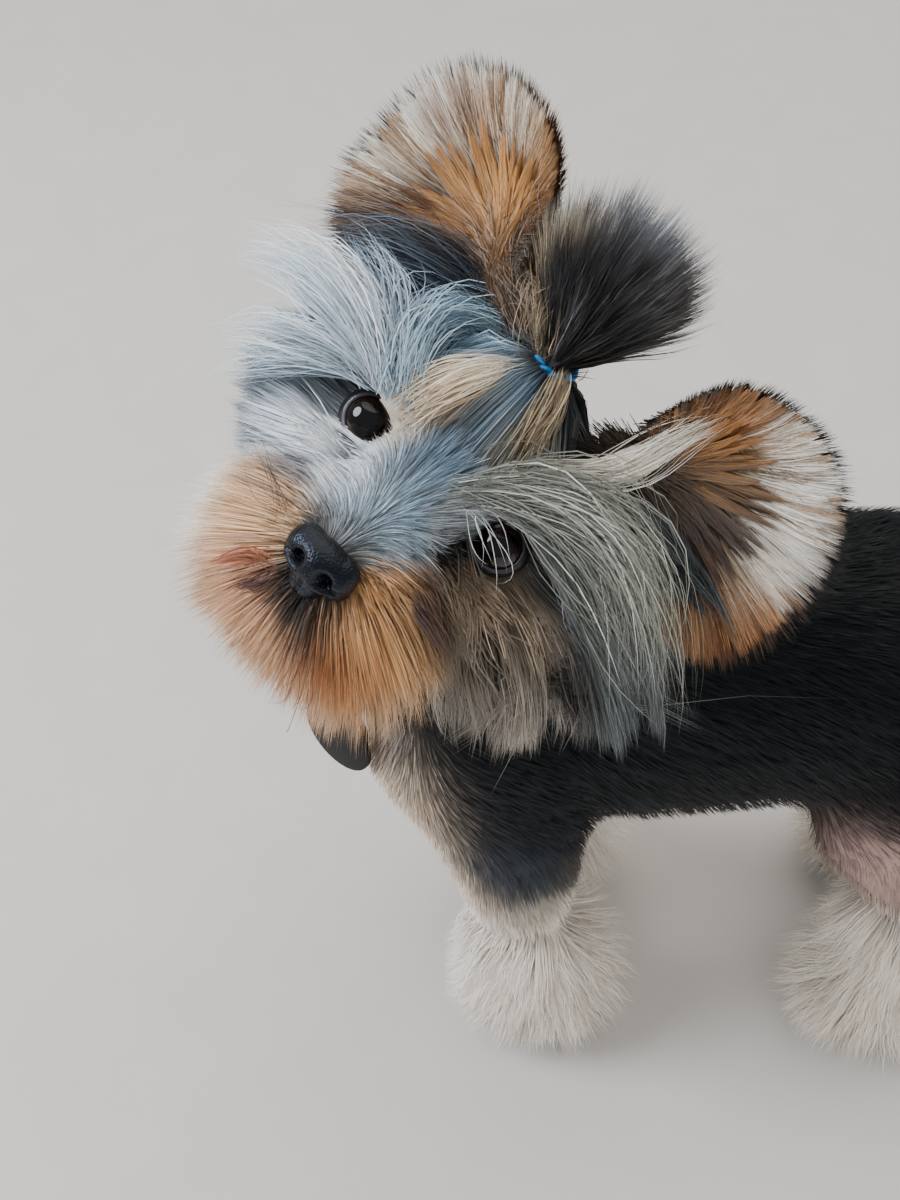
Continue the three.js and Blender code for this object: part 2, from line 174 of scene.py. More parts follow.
floor_shape = bmesh.new()
bmesh.ops.create_grid(floor_shape, x_segments=8, y_segments=8, size=4)
floor_mesh = bpy.data.meshes.new("floor")
floor_shape.to_mesh(floor_mesh)
floor = shown("floor", floor_mesh)
floor_finish, tree, shader = finish_named("pale floor", 0.8)
speckle = grain_of(tree, Scale=30, Detail=4)
join(tree, (two_tones(tree, speckle, "#d3d0cb", "#dcdad6"), "Color", shader, "Base Color"))
floor_mesh.materials.append(floor_finish)

sky = bpy.data.worlds.new("room")
sky.use_nodes = True
daylight = sky.node_tree.nodes["Background"]
daylight.inputs["Color"].default_value = (*dye("#e8edf2"), 1)
daylight.inputs["Strength"].default_value = 0.38
bpy.context.scene.world = sky
for name, place, size, power, tint in (
    ("window", (0.1, -1.3, 1.3), 1.0, 32, "#f3f6ff"),
    ("ceiling", (-0.5, 0.3, 1.6), 2.6, 24, "#fff6ea"),
    ("near_side", (1.3, 0.3, 0.9), 2.0, 10, "#fffaf2"),
):
    soft = bpy.data.lights.new(name, "AREA")
    soft.shape = "DISK"
    soft.size = size
    soft.energy = power
    soft.color = dye(tint)
    lamp = bpy.data.objects.new(name, soft)
    lamp.location = place
    lamp.visible_glossy = name != "near_side"
    lamp.rotation_euler = (LIT_MIDDLE - Vector(place)).to_track_quat("-Z", "Y").to_euler()
    bpy.context.scene.collection.objects.link(lamp)

# The skin: one closed hide over the whole dog, from the eyes to the paws, with both ears and the tail.
# Volumes of flesh are run together and smoothed. It lies under the outline by the depth of the coat.
SKIN_VOXEL = 1.7
SMOOTHING = 6
FORE_FOOT_X, HIND_FOOT_X = 30.5, 33.5
FORE_FOOT_Y = {1: 0, -1: 5}
HIND_FOOT_Y = {1: 113, -1: 127}
TOES = (-1.5, -0.5, 0.5, 1.5)
FORE_TOE_GAP, HIND_TOE_GAP = 5.5, 5.2
NOSE = (0, 39, -15)
flesh = bmesh.new()


def turned_to(way):
    """The turn that brings Z to a way."""
    return Vector(way).to_track_quat("Z", "Y").to_matrix().to_4x4()


def ball(centre, radii, turn=None):
    put = Matrix.LocRotScale(Vector(centre), turn, Vector(radii))
    bmesh.ops.create_icosphere(flesh, subdivisions=3, radius=1, matrix=put)


def head_ball(centre, radii):
    ball(on_head(*centre), radii, HEAD.to_quaternion())


def limb(*stations):
    """A limb through stations of (place, radius)."""
    for (a, ra), (b, rb) in zip(stations, stations[1:]):
        a, b = Vector(a), Vector(b)
        put = Matrix.Translation((a + b) / 2) @ turned_to(b - a)
        bmesh.ops.create_cone(
            flesh, cap_ends=True, segments=20, radius1=ra, radius2=rb, depth=(b - a).length, matrix=put
        )
    for place, radius in stations:
        ball(place, (radius,) * 3)


head_ball((0, -30, -2), (31, 33, 25))
head_ball((0, -46, -8), (26, 22, 24))
head_ball((0, -22, -24), (25, 22, 15))
limb((on_head(0, -2, -11), 15), (on_head(0, 16, -13), 13), (on_head(0, 27, -15.5), 10))
limb((on_head(0, -14, -24), 12), (on_head(0, 24, -25), 7.5))
for side in (1, -1):
    head_ball((side * 24, -24, -15), (13, 16, 17))
    head_ball((side * 19, -10, 8), (12, 8, 7))
    head_ball((side * 25, -6, -13), (11, 8, 7))
    limb((on_head(side * 7, 26, -18), 7.5), (on_head(side * 10, 8, -20), 9))

# An ear is a thin leaf, dished to the front and leaning out to the side
EARS = {
    1: {"centre": (56, -38, 36), "length": 31, "width": 38, "lean": 58, "dish": 12},
    -1: {"centre": (-48, -38, 50), "length": 32, "width": 36, "lean": 56, "dish": 12},
}


def ease(t):
    return t * t * (3 - 2 * t)


def stepped(value, start, run):
    """0 up to start, 1 from start + run, and an even change between them."""
    return ease(np.clip((value - start) / run, 0, 1))


def ear_points(side, across, along, forward):
    """Points of the body from shares of an ear's half width and length, and millimetres forward."""
    ear = EARS[side]
    lean = math.radians(ear["lean"])
    up_ear = Vector((side * math.sin(lean), 0.1, math.cos(lean))).normalized()
    facing = Vector((side * 0.3, -1, 0))
    facing = (facing - up_ear * facing.dot(up_ear)).normalized()
    over = up_ear.cross(facing)
    centre = Vector((ear["centre"][0], -ear["centre"][1], ear["centre"][2]))
    across, along, forward = (np.asarray(v, float)[..., None] for v in (across, along, forward))
    widening = 0.72 + 0.28 * stepped(along, -1.1, 1.2)
    cup = ear["dish"] * (across**2 * widening + 0.35 * along**2)
    local = np.array(centre) + np.array(up_ear) * along * ear["length"]
    local = local + np.array(over) * across * ear["width"] * widening + np.array(facing) * (forward + cup)
    return local @ np.array(HEAD).T + np.array(EYES)


for side in (1, -1):
    leaf = bmesh.ops.create_icosphere(flesh, subdivisions=4, radius=1)["verts"]
    across, along, forward = np.array([v.co for v in leaf]).T
    across = 0.8 * across * (1 - 0.25 * np.clip(along, 0, 1))
    for v, p in zip(leaf, ear_points(side, across, 0.85 * along - 0.1, 1.9 * forward)):
        v.co = p
    root, waist = (Vector(ear_points(side, 0, share, 0)) for share in (-0.95, -0.5))
    limb((on_head(side * 17, -32, 6), 13), (root, 5.5), (waist, 2.8))

limb(((1, -8, 158), 33), ((14, -18, 208), 27))
ball((11, -32, 176), (24, 24, 22))
ball((0, 28, 142), (41, 58, 46))
ball((0, -22, 140), (33, 35, 38))
ball((0, 84, 145), (40, 48, 42))
ball((0, 114, 148), (36, 33, 37))
limb(((0, 130, 170), 9), ((0, 160, 198), 7), ((0, 176, 224), 4.5))
for side in (1, -1):
    y = FORE_FOOT_Y[side]
    limb(
        ((side * 26, y - 35, 138), 17), ((side * 29, y - 14, 102), 15), ((side * 29, y - 9, 60), 9),
        ((side * 29.5, y - 3, 28), 7.5), ((side * FORE_FOOT_X, y - 4, 11), 9),
    )
    ball((side * 28, y - 8, 128), (15, 23, 27))
    ball((side * FORE_FOOT_X, y - 7, 10), (11, 16, 9.5))
    for toe in TOES:
        ball((side * FORE_FOOT_X + toe * FORE_TOE_GAP, y - 18 + abs(toe) * 3, 7.5), (3.6, 7, 6.5))
    y = HIND_FOOT_Y[side]
    ball((side * 27, y - 5, 130), (18, 32, 35), Matrix.Rotation(math.radians(10), 3, "X").to_quaternion())
    limb(
        ((side * 32, y - 17, 108), 17), ((side * 33.5, y - 2, 86), 14), ((side * 34, y + 12, 64), 8.5),
        ((side * 33.5, y + 6, 30), 7), ((side * HIND_FOOT_X, y, 12), 8),
    )
    ball((side * HIND_FOOT_X, y - 5, 10), (10.5, 16, 9.5))
    for toe in TOES:
        ball((side * HIND_FOOT_X + toe * HIND_TOE_GAP, y - 16 + abs(toe) * 3, 7.5), (3.5, 7, 6.5))


def fused(volumes, voxel, rounds):
    """Volumes run together into one closed and smoothed mesh."""
    mesh = bpy.data.meshes.new("volumes")
    volumes.to_mesh(mesh)
    lump = shown("volumes", mesh)
    remesh = lump.modifiers.new("remesh", "REMESH")
    remesh.mode = "VOXEL"
    remesh.voxel_size = voxel
    soften = lump.modifiers.new("soften", "SMOOTH")
    soften.factor = 0.5
    soften.iterations = rounds
    bpy.context.view_layer.update()
    seen = lump.evaluated_get(bpy.context.evaluated_depsgraph_get())
    made = bpy.data.meshes.new_from_object(seen)
    bpy.data.objects.remove(lump)
    return made


def points_of(mesh):
    spots = np.zeros(len(mesh.vertices) * 3)
    mesh.vertices.foreach_get("co", spots)
    return spots.reshape(-1, 3)


def surface_of(mesh):
    """A mesh made ready to find the nearest place on it."""
    return BVHTree.FromPolygons(points_of(mesh).tolist(), [tuple(p.vertices) for p in mesh.polygons])


skin_mesh = fused(flesh, SKIN_VOXEL, SMOOTHING)
flesh.free()

# The scissored outline of the coat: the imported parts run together. Where the coat is clipped it is only a few
# millimetres deep, and the hide there is brought up to that depth under the outline.
OUTLINE_VOXEL = 2.5
OVERLAP = 0.5
CLIPPED_DEPTH = 2.8
LEAST_DEPTH = 1.5
LEGS_PART = 50
FORE_CUFF, HIND_CUFF = 58, 70
SIDES = {"left": 1, "right": -1}
PAIRED = ("cheek", "ear", "foreleg", "fore_boot", "hindleg", "hind_boot")
COATED = ["head", "muzzle", "neck", "trunk", "tail", "topknot"]
COATED += [f"{part}_{side}" for part in PAIRED for side in SIDES]
outline_shape = bmesh.new()
for part in [*COATED, "collar", "nose", "eye_left", "eye_right"]:
    outline_shape.from_mesh(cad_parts[part].data)
bmesh.ops.remove_doubles(outline_shape, verts=outline_shape.verts, dist=1e-6)
bmesh.ops.transform(
    outline_shape, matrix=Matrix.Scale(1 / MM, 4) @ Matrix.Translation(-STANCE), verts=outline_shape.verts
)
outline_shape.normal_update()
for v in outline_shape.verts:
    v.co += v.normal * OVERLAP
outline_mesh = fused(outline_shape, OUTLINE_VOXEL, 1)
outline_shape.free()
outline_tree = surface_of(outline_mesh)


def cuff_at(y):
    """The height at which the clipped sleeve of a leg ends and its boot begins."""
    return np.where(y < LEGS_PART, FORE_CUFF, HIND_CUFF)


spots = points_of(skin_mesh)
x, y, z = spots.T
body_part = stepped(z, cuff_at(y) + 2, 8) * stepped(-z, -190, 20)
back_part = stepped(z, 150, 10) * stepped(-z, -228, 20)
shares = np.where((y > 20) | (y > -15) & (z > 150), np.maximum(body_part, back_part), body_part)
for i, (place, share) in enumerate(zip(spots, shares)):
    near, outward, _, away = outline_tree.find_nearest(Vector(place))
    if (Vector(place) - near).dot(outward) > 0 or away < LEAST_DEPTH:
        spots[i] = near - outward * LEAST_DEPTH
    elif away > CLIPPED_DEPTH and share > 0:
        spots[i] = place + (np.array(near) - place) * share * (1 - CLIPPED_DEPTH / away)
skin_mesh.vertices.foreach_set("co", spots.ravel())

# Each eye's socket is pressed into the hide
SOCKET_RADII = np.array((7.7, 15, 7.5))
spots = points_of(skin_mesh)
local = head_points(spots)
for side in (1, -1):
    hollow = np.array((side * EYE_SIDE, 9, -0.5))
    share = np.linalg.norm((local - hollow) / SOCKET_RADII, axis=1)[:, None]
    pressed = hollow + (local - hollow) / np.maximum(share, 0.05)
    local = np.where((share < 1) & (local[:, 1:2] > -12), pressed, local)
spots = local @ HEAD_AXES + np.array(EYES)
spots[:, 2] = np.maximum(spots[:, 2], 0.6)
skin_mesh.vertices.foreach_set("co", spots.ravel())
skin_mesh.update()

# The marks of the hide and the coat: (place on the head, how far it reaches, colour).
# The hide is darker than its coat, and almost bare and pink on the stifles.
HIDE_SHADE = 0.75
HEAD_MARKS = (
    # right lobe of the muzzle: cream rim, tan middle, blue-grey upper border as painted shadow in its crease,
    # red curl by the mouth
    ((-39, 24, -32), 8, "#fbf0e2"), ((-32, 26, -44), 7, "#efdbc5"), ((-24, 32, -24), 8, "#e2ba90"),
    ((-29, 27, -17), 5, "#c79f79"), ((-27, 23, -10), 5, "#646b77"), ((-13, 39, -31), 4, "#99654a"),
    # lower muzzle: peach to orange, black under the nose, a rust streak, gold and a dark stripe on the left
    ((-14, 36, -44), 9, "#d4a681"), ((2, 35, -52), 9, "#c79b74"), ((1, 41, -25), 6, "#16171a"),
    ((8, 39, -30), 5, "#43352b"), ((19, 38, -34), 5, "#874f2c"), ((27, 35, -35), 8, "#bd8450"),
    ((21, 35, -22), 7, "#c79666"), ((29, 31, -22), 6, "#cda374"), ((37, 26, -38), 8, "#d5b28d"),
    ((26, 27, -12), 4, "#4a3b35"), ((33, 23, -18), 4, "#4d3d36"), ((18, 28, -58), 8, "#ceae91"),
    # bridge of the nose and the pale hair under the right eye
    ((-2, 31, -8), 5, "#5d6163"), ((-2, 24, -2), 6, "#7f93a2"), ((-5, 12, 5), 6, "#65798a"),
    ((-14, 14, -5), 7, "#ced7de"), ((-31, 2, -13), 9, "#edf4f9"), ((-43, 0, -18), 9, "#c6d3dc"),
    ((-57, -13, -21), 10, "#6d767d"), ((-46, -5, 0), 8, "#7d8890"),
    # forehead, drawn up to the elastic
    ((-17, 4, 11), 5, "#f0e0c9"), ((-14, -1, 18), 4.5, "#ecdbc2"), ((-10, -6, 24), 4.5, "#e4d3ba"),
    ((-27, -24, 24), 8, "#a6c1d5"),
    ((-3, 5, 13), 5.5, "#61788a"), ((-2, -5, 25), 5.5, "#6c8496"), ((9, -4, 24), 4, "#bbad92"),
    ((17, -7, 24), 5, "#7f8076"), ((15, 6, 5), 5, "#939a9f"),
    # round the left eye and its cheek
    ((-18, 0, -6), 2.2, "#4a4f58"), ((-19, 4, -10), 2.2, "#7d858d"), ((14, 2, -4), 4.5, "#26282a"),
    ((30, -1, 4), 4.5, "#2f3132"), ((33, 0, -11), 7, "#8f7d6b"),
    ((40, 0, -23), 9, "#857a6d"), ((52, -3, -33), 9, "#979087"), ((46, -3, -9), 6, "#8f7e6b"),
    ((60, -10, -16), 6, "#3a3836"),
    # the long fall in front of the left ear
    ((27, -7, 19), 7, "#a3a9aa"), ((42, -20, 15), 8, "#989fa1"), ((50, -17, 4), 8, "#5b6164"),
    ((63, -18, 3), 9, "#7b8184"), ((79, -20, -4), 9, "#5b6164"), ((52, -26, 18), 9, "#2b3034"),
    # crown, nape, the back of the head and the throat
    ((21, -36, 28), 8, "#404346"), ((-44, -25, 26), 9, "#556069"), ((-40, -45, 5), 14, "#41474c"),
    ((40, -48, 2), 12, "#313538"), ((0, -60, 5), 16, "#34383c"), ((0, -66, -20), 18, "#1f2327"),
    ((0, -16, -42), 12, "#987f66"), ((-12, -40, 32), 7, "#4a3a2c"),
)
# The same for the body, alike on both sides: (place, how far it reaches, colour)
BODY_MARKS = (
    ((0, -30, 190), 30, "#141a1f"), ((0, 40, 190), 40, "#0c1117"), ((0, 120, 186), 36, "#0d1318"),
    ((46, 10, 150), 30, "#0a1016"), ((46, 90, 152), 32, "#091017"), ((24, 40, 100), 16, "#1e1d1e"),
    ((0, 60, 92), 16, "#5a4a40"), ((12, -58, 150), 15, "#4a4744"), ((6, -58, 128), 16, "#dcc8b8"),
    ((22, -56, 144), 9, "#d8c0ae"),
    ((0, -30, 104), 14, "#cdb6a3"), ((48, -14, 128), 13, "#1a2027"), ((46, -14, 100), 11, "#303842"),
    ((34, -48, 120), 14, "#d6c1ab"), ((32, -32, 86), 13, "#d8c4ad"), ((48, -8, 72), 7, "#b9b0a3"),
    ((30, 10, 92), 10, "#55524e"), ((12, -10, 90), 10, "#bfa48c"), ((30, -10, 45), 18, "#f4ebe0"),
    ((46, 100, 132), 13, "#0d1114"), ((50, 92, 112), 9, "#9d8580"), ((46, 104, 94), 10, "#b79d94"),
    ((48, 124, 104), 10, "#2a2622"), ((36, 128, 78), 9, "#7d6650"), ((20, 96, 92), 12, "#b09282"),
    ((33, 115, 40), 18, "#f2e9dc"), ((0, 150, 190), 12, "#10151a"), ((0, 180, 226), 12, "#171b20"),
)


def shades(places, marks):
    """The colour at each place, from the marks that reach it."""
    spots = np.array([m[0] for m in marks], np.float32)
    reach = np.array([m[1] for m in marks], np.float32)
    colours = np.array([dye(m[2]) for m in marks], np.float32)
    made = np.empty((len(places), 3), np.float32)
    for start in range(0, len(places), 40000):
        part = places[start : start + 40000].astype(np.float32)
        away = ((part[:, None] - spots) ** 2).sum(2) / reach**2
        weight = np.exp(-0.8 * (away - away.min(1, keepdims=True)))
        made[start : start + 40000] = weight @ colours / weight.sum(1, keepdims=True)
    return made


def head_shades(places):
    return shades(head_points(places), HEAD_MARKS)


def body_shades(places):
    return shades(np.abs(places * (1, 0, 0)) + places * (0, 1, 1), BODY_MARKS)


def stain(mesh, colours):
    """Keeps a colour for each vertex as the attribute coat."""
    layer = mesh.color_attributes.new("coat", "FLOAT_COLOR", "POINT")
    layer.data.foreach_set("color", np.c_[colours, np.ones(len(colours))].astype(np.float32).ravel())


def neck_shades(places):
    """The body's marks, which turn into the head's up the neck."""
    share = stepped(places[:, 2:], 178, 20)
    return body_shades(places) * (1 - share) + head_shades(places) * share


spots = points_of(skin_mesh)
from_stifle = (np.abs(spots * (1, 0, 0)) + spots * (0, 1, 1) - (44, 98, 100)) / (14, 16, 20)
bare = np.exp(-(from_stifle**2).sum(1))[:, None]
stain(skin_mesh, neck_shades(spots) * HIDE_SHADE * (1 - bare) + np.array(dye("#c9a49c")) * bare)
in_place(skin_mesh)
skin_mesh.shade_smooth()
skin = shown("skin", skin_mesh)


def limited(tree, grain, least, most, given="Fac"):
    """A grain brought to other limits than 0 and 1."""
    limits = node(tree, "ShaderNodeMapRange")
    limits.inputs["To Min"].default_value = least
    limits.inputs["To Max"].default_value = most
    join(tree, (grain, given, limits, "Value"))
    return limits


def raised(tree, shader, grain, strength, depth, given="Fac"):
    """A grain that stands out of the surface."""
    relief = node(tree, "ShaderNodeBump", Strength=strength, Distance=depth)
    join(tree, (grain, given, relief, "Height"), (relief, "Normal", shader, "Normal"))
    return relief


def coat_finish(name, roughness, streaks, shine):
    """Hair or hide: the coat colour broken up by fine streaks, with a fine grain in gloss and relief."""
    material, tree, shader = finish_named(name, roughness, **{"Specular IOR Level": shine})
    colour = node(tree, "ShaderNodeVertexColor", layer_name="coat")
    grain = grain_of(tree, Scale=streaks, Detail=5, Roughness=0.6)
    tint = node(tree, "ShaderNodeVectorMath", operation="SCALE")
    join(
        tree, (colour, "Color", tint, 0), (limited(tree, grain, 0.72, 1.28), "Result", tint, "Scale"),
        (tint, "Vector", shader, "Base Color"),
        (limited(tree, grain, roughness - 0.08, roughness + 0.12), "Result", shader, "Roughness"),
    )
    raised(tree, shader, grain, 0.3, 0.0004)
    return material


skin_mesh.materials.append(coat_finish("hide", 0.6, 900, 0.35))
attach(skin, "root")
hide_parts(*COATED)

# The coat: every hair is a thin flat blade that tapers to a point, rooted in the hide and combed along it.
# Hair lies between the hide and the scissored outline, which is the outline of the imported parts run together.
MAP_STEP = 3.0
FULL_COAT = 1.0
draw = np.random.default_rng(7)


def depth_map(mesh, low, high):
    """Distances from a closed surface, positive outside, on a lattice, each with the way outwards."""
    tree = surface_of(mesh)
    axes = [np.arange(a, b + MAP_STEP, MAP_STEP) for a, b in zip(low, high)]
    depth = np.empty([len(a) for a in axes])
    for i, x in enumerate(axes[0]):
        for j, y in enumerate(axes[1]):
            for k, z in enumerate(axes[2]):
                spot = Vector((x, y, z))
                near, normal, _, away = tree.find_nearest(spot)
                depth[i, j, k] = away if (spot - near).dot(normal) > 0 else -away
    slopes = np.stack(np.gradient(depth, MAP_STEP), axis=3)
    return np.concatenate([depth[..., None], slopes], axis=3).astype(np.float32), np.array(low, float)


def read_map(made, places):
    """The distance and the way outwards at each place."""
    values, low = made
    at = (places - low) / MAP_STEP
    at = np.clip(at, 0, np.array(values.shape[:3]) - 1.001)
    cell = at.astype(int)
    share = at - cell
    total = 0
    for corner in np.ndindex(2, 2, 2):
        weight = np.prod(np.where(corner, share, 1 - share), axis=1)
        i, j, k = (cell + corner).T
        total = total + values[i, j, k] * weight[:, None]
    return total[:, 0], total[:, 1:]


def unit(ways):
    return ways / np.maximum(np.linalg.norm(ways, axis=1, keepdims=True), 1e-9)


hide_points = (points_of(skin_mesh) / MM) - np.array(STANCE) / MM
map_low, map_high = (np.array((corner - STANCE) / MM) for corner in cad_box)
map_low = map_low - (12, 12, 6)
map_high = map_high + 12
hide_copy = skin_mesh.copy()
hide_copy.vertices.foreach_set("co", hide_points.ravel())
under = depth_map(hide_copy, map_low, map_high)
over = depth_map(outline_mesh, map_low, map_high)


def level(places):
    """How far up through the coat a place is, 0 at the hide and 1 at the outline, and the way outwards."""
    above, way_up = read_map(under, places)
    beyond, way_out = read_map(over, places)
    room = np.maximum(above, 0) + np.maximum(-beyond, 0) + 0.3
    share = np.clip(above / room, -1, 1) + np.maximum(beyond, 0) / 4
    mix = np.clip(share, 0, 1)[:, None]
    return share, unit(way_up * (1 - mix) + way_out * mix), beyond


# Faces of the hide that hair can grow from
corners = np.array([p.vertices[:4] for p in hide_copy.polygons if len(p.vertices) == 4])
quads = hide_points[corners]
face_middles = quads.mean(1)
crossed = np.cross(quads[:, 2] - quads[:, 0], quads[:, 3] - quads[:, 1])
face_areas = np.linalg.norm(crossed, axis=1) / 2
face_ways = unit(crossed)
bpy.data.meshes.remove(hide_copy)


def roots(count, where):
    """Random places on the hide, as dense as `where` says, and the way out of the hide there."""
    weight = face_areas * where
    pick = draw.choice(len(weight), int(count * FULL_COAT), p=weight / weight.sum())
    a, b = draw.random((2, len(pick), 1))
    quad = quads[pick]
    spots = (quad[:, 0] * (1 - a) + quad[:, 1] * a) * (1 - b) + (quad[:, 3] * (1 - a) + quad[:, 2] * a) * b
    return spots, face_ways[pick]


def combed(guides, reach):
    """A comb from guides of (place, way) on the head: hair follows the nearest ones."""
    spots, ways = (np.array([g[i] for g in guides], float) for i in (0, 1))
    ways = unit(ways)

    def comb(places, done):
        local = head_points(places)
        away = ((local[:, None] - spots) ** 2).sum(2) / (2 * reach**2)
        weight = np.exp(-(away - away.min(1, keepdims=True)))
        return unit(weight @ ways) @ HEAD_AXES

    return comb


EYE_MIDDLES = {side: np.array(on_head(side * EYE_SIDE, -EYE_DEPTH, 0)) for side in (1, -1)}
GAZE = unit(np.array([[0.12, 0.93, 0.3]])) @ HEAD_AXES


def free_of_face(paths, sight):
    """False where hair would lie over an eye or the nose. `sight` is the clear half width before an eye."""
    spots = paths.reshape(-1, 3)
    free = np.ones(len(spots), bool)
    for centre in EYE_MIDDLES.values():
        off = spots - centre
        ahead = off @ GAZE[0]
        aside = np.linalg.norm(off - ahead[:, None] * GAZE, axis=1)
        free &= ~((ahead > 0) & (aside < sight)) & (np.linalg.norm(off, axis=1) > EYE_RADIUS + 0.3)
    local = head_points(spots) - NOSE
    free &= ((local / (10.8, 9, 8)) ** 2).sum(1) > 1
    free &= ~((local[:, 1] > 0) & (np.hypot(local[:, 0] / 9.5, local[:, 2] / 7) < 1))
    return free.reshape(paths.shape[:2])


def grow(spots, ways, comb, length, steps, layer, pull=0.8, bend=0.45, lift=0.4, trim=(0, 1.5), sight=6.2):
    """Combs hair out from its roots: it leaves the hide by `lift` and is cut at the outline, or by an eye.

    `pull` draws it to its layer between the hide, 0, and the outline, 1. `bend` keeps it on its way.
    """
    count = len(spots)
    length = np.broadcast_to(length, count)[:, None]
    layer = np.broadcast_to(layer, count)
    paths = [spots]
    heading = unit(comb(spots, 0) + ways * lift)
    place = spots
    for step in range(steps):
        done = (step + 0.5) / steps
        share, outward, _ = level(place)
        want = layer * np.minimum(1, 0.15 + 1.5 * done)
        aim = comb(place, done) + outward * np.clip(pull * (want - share) * 2, -0.9, 0.9)[:, None]
        heading = unit(heading * bend + unit(aim) * (1 - bend))
        place = place + heading * length / steps
        above, way_up = read_map(under, place)
        place = place + way_up * np.maximum(0.3 - above, 0)[:, None]
        place[:, 2] = np.maximum(place[:, 2], 0.4)
        paths.append(place)
    paths = np.stack(paths, 1)
    return trimmed(paths, trim, free_of_face(paths, sight))


def trimmed(paths, trim, free=True, sure=1):
    """Hair cut at the outline or where it isn't free, and the share of it that is kept."""
    steps = paths.shape[1] - 1
    beyond = read_map(over, paths.reshape(-1, 3))[0].reshape(paths.shape[:2])
    good = (beyond < draw.normal(*trim, (len(paths), 1))) & free
    good[:, :sure] = True
    kept = np.where(good.all(1), steps, np.argmin(good, 1) - 0.5) / steps
    return cut(paths, kept), kept


def cut(paths, share):
    """Hair shortened to a share of its length."""
    steps = paths.shape[1] - 1
    at = np.clip(share[:, None] * np.arange(steps + 1), 0, steps)
    low = np.minimum(at.astype(int), steps - 1)
    part = (at - low)[..., None]
    row = np.arange(len(paths))[:, None]
    return paths[row, low] * (1 - part) + paths[row, low + 1] * part


def locked(paths, size, hold, spread=0.6, at=0):
    """Hair drawn together towards its tips into locks of about `size` hairs, neighbours at station `at`."""
    count = len(paths)
    leaders = draw.permutation(count)[: max(1, count // size)]
    tree = KDTree(len(leaders))
    for i, leader in enumerate(leaders):
        tree.insert(paths[leader, at], i)
    tree.balance()
    follow = leaders[[tree.find(p)[1] for p in paths[:, at]]]
    done = np.linspace(0, 1, paths.shape[1])[None, :, None]
    target = paths[follow] + (paths[:, :1] - paths[follow][:, :1]) * (1 - done) * 0.6
    target = target + draw.normal(0, spread, (count, 1, 3)) * done
    part = hold * done**1.3
    return paths * (1 - part) + target * part, follow


def lock_tones(follow, spread):
    """How dark or pale each lock is, which its hairs share."""
    return np.exp(draw.normal(0, spread, len(follow)))[follow][:, None, None]


def waved(paths, follow, size, length):
    """Soft waves that the hairs of a lock share, growing towards the tips."""
    steps = paths.shape[1] - 1
    along = unit(paths[:, -1] - paths[:, 0])
    aside = unit(np.cross(along, draw.normal(size=(len(paths), 3))[follow] + 0.01))
    run = np.linalg.norm(np.diff(paths, axis=1), axis=2).sum(1)[:, None] * np.linspace(0, 1, steps + 1)
    phase = draw.random(len(paths))[follow][:, None] * 2 * math.pi
    swing = size * np.sin(run * 2 * math.pi / length + phase) - size * np.sin(phase)
    return paths + aside[:, None] * (swing * np.linspace(0, 1, steps + 1))[..., None]


def unrolled(places, centre, axis, start, span):
    """Where places are on a hide unrolled round an axis: the turn round it and the share of the way along."""
    axis = unit(np.array([axis], float))[0]
    side = unit(np.cross([axis], [[0.13, 0.29, 0.95] if abs(axis[2]) < 0.8 else [0, 1, 0]]))[0]
    other = np.cross(axis, side)
    off = places - np.array(centre, float)
    turn = np.arctan2(off @ side, off @ other) / (2 * math.pi) + 0.5
    return np.c_[turn, np.clip((off @ axis - start) / span, 0, 1)]


def blades(paths, width, colours, spread, patch, roll=0.9, base=0.5, ways=None):
    """The vertices, faces, colours and map of flat blades along the paths, as arrays."""
    count, stations = paths.shape[:2]
    steps = stations - 1
    tangent = np.gradient(paths, axis=1)
    if ways is None:
        ways = level(paths[:, steps // 2])[1]
    outward = np.repeat(ways[:, None], stations, 1)
    side = np.cross(tangent, outward).reshape(-1, 3)
    flat = unit(side).reshape(paths.shape)
    ahead = unit(tangent.reshape(-1, 3)).reshape(paths.shape)
    rise = np.cross(flat, ahead)
    turn = draw.normal(0, roll, (count, 1, 1)) + np.linspace(-0.25, 0.25, stations)[None, :, None]
    across = flat * np.cos(turn) + rise * np.sin(turn)
    done = np.linspace(0, 1, stations)
    taper = (base + (1 - base) * np.minimum(1, done * 3)) * (1 - done**2.2)
    half = width / 2 * draw.uniform(0.7, 1.25, (count, 1, 1)) * taper[None, :, None]
    pairs = np.stack([paths - across * half, paths + across * half], 2)[:, :-1].reshape(count, steps * 2, 3)
    spots = np.concatenate([pairs, paths[:, -1:]], 1)
    first = np.arange(count)[:, None] * (2 * steps + 1)
    row = np.arange(steps - 1) * 2
    four = (first[..., None] + row[None, :, None] + np.array([0, 1, 3, 2])).reshape(-1, 4)
    three = (first + np.array([2 * steps - 2, 2 * steps - 1, 2 * steps])).reshape(-1, 3)
    light = draw.normal(0, spread, (count, 1, 1)) + draw.normal(0, spread / 3, (count, stations, 1))
    colours = np.clip(colours * np.exp(light), 0, 1)
    shade = np.concatenate([np.repeat(colours[:, :-1], 2, 1), colours[:, -1:]], 1)
    step_v = np.append(np.repeat(done[:-1], 2), 1.0)
    step_u = np.append(np.tile([-1.0, 1.0], steps), 0.0)
    spot_map = patch[:, None] * 0.96 + 0.02 + np.stack([step_u * 0.0015, step_v * 0.003], 1)[None]
    return [a.reshape(-1, a.shape[-1]) for a in (spots, four, three, shade, spot_map)]


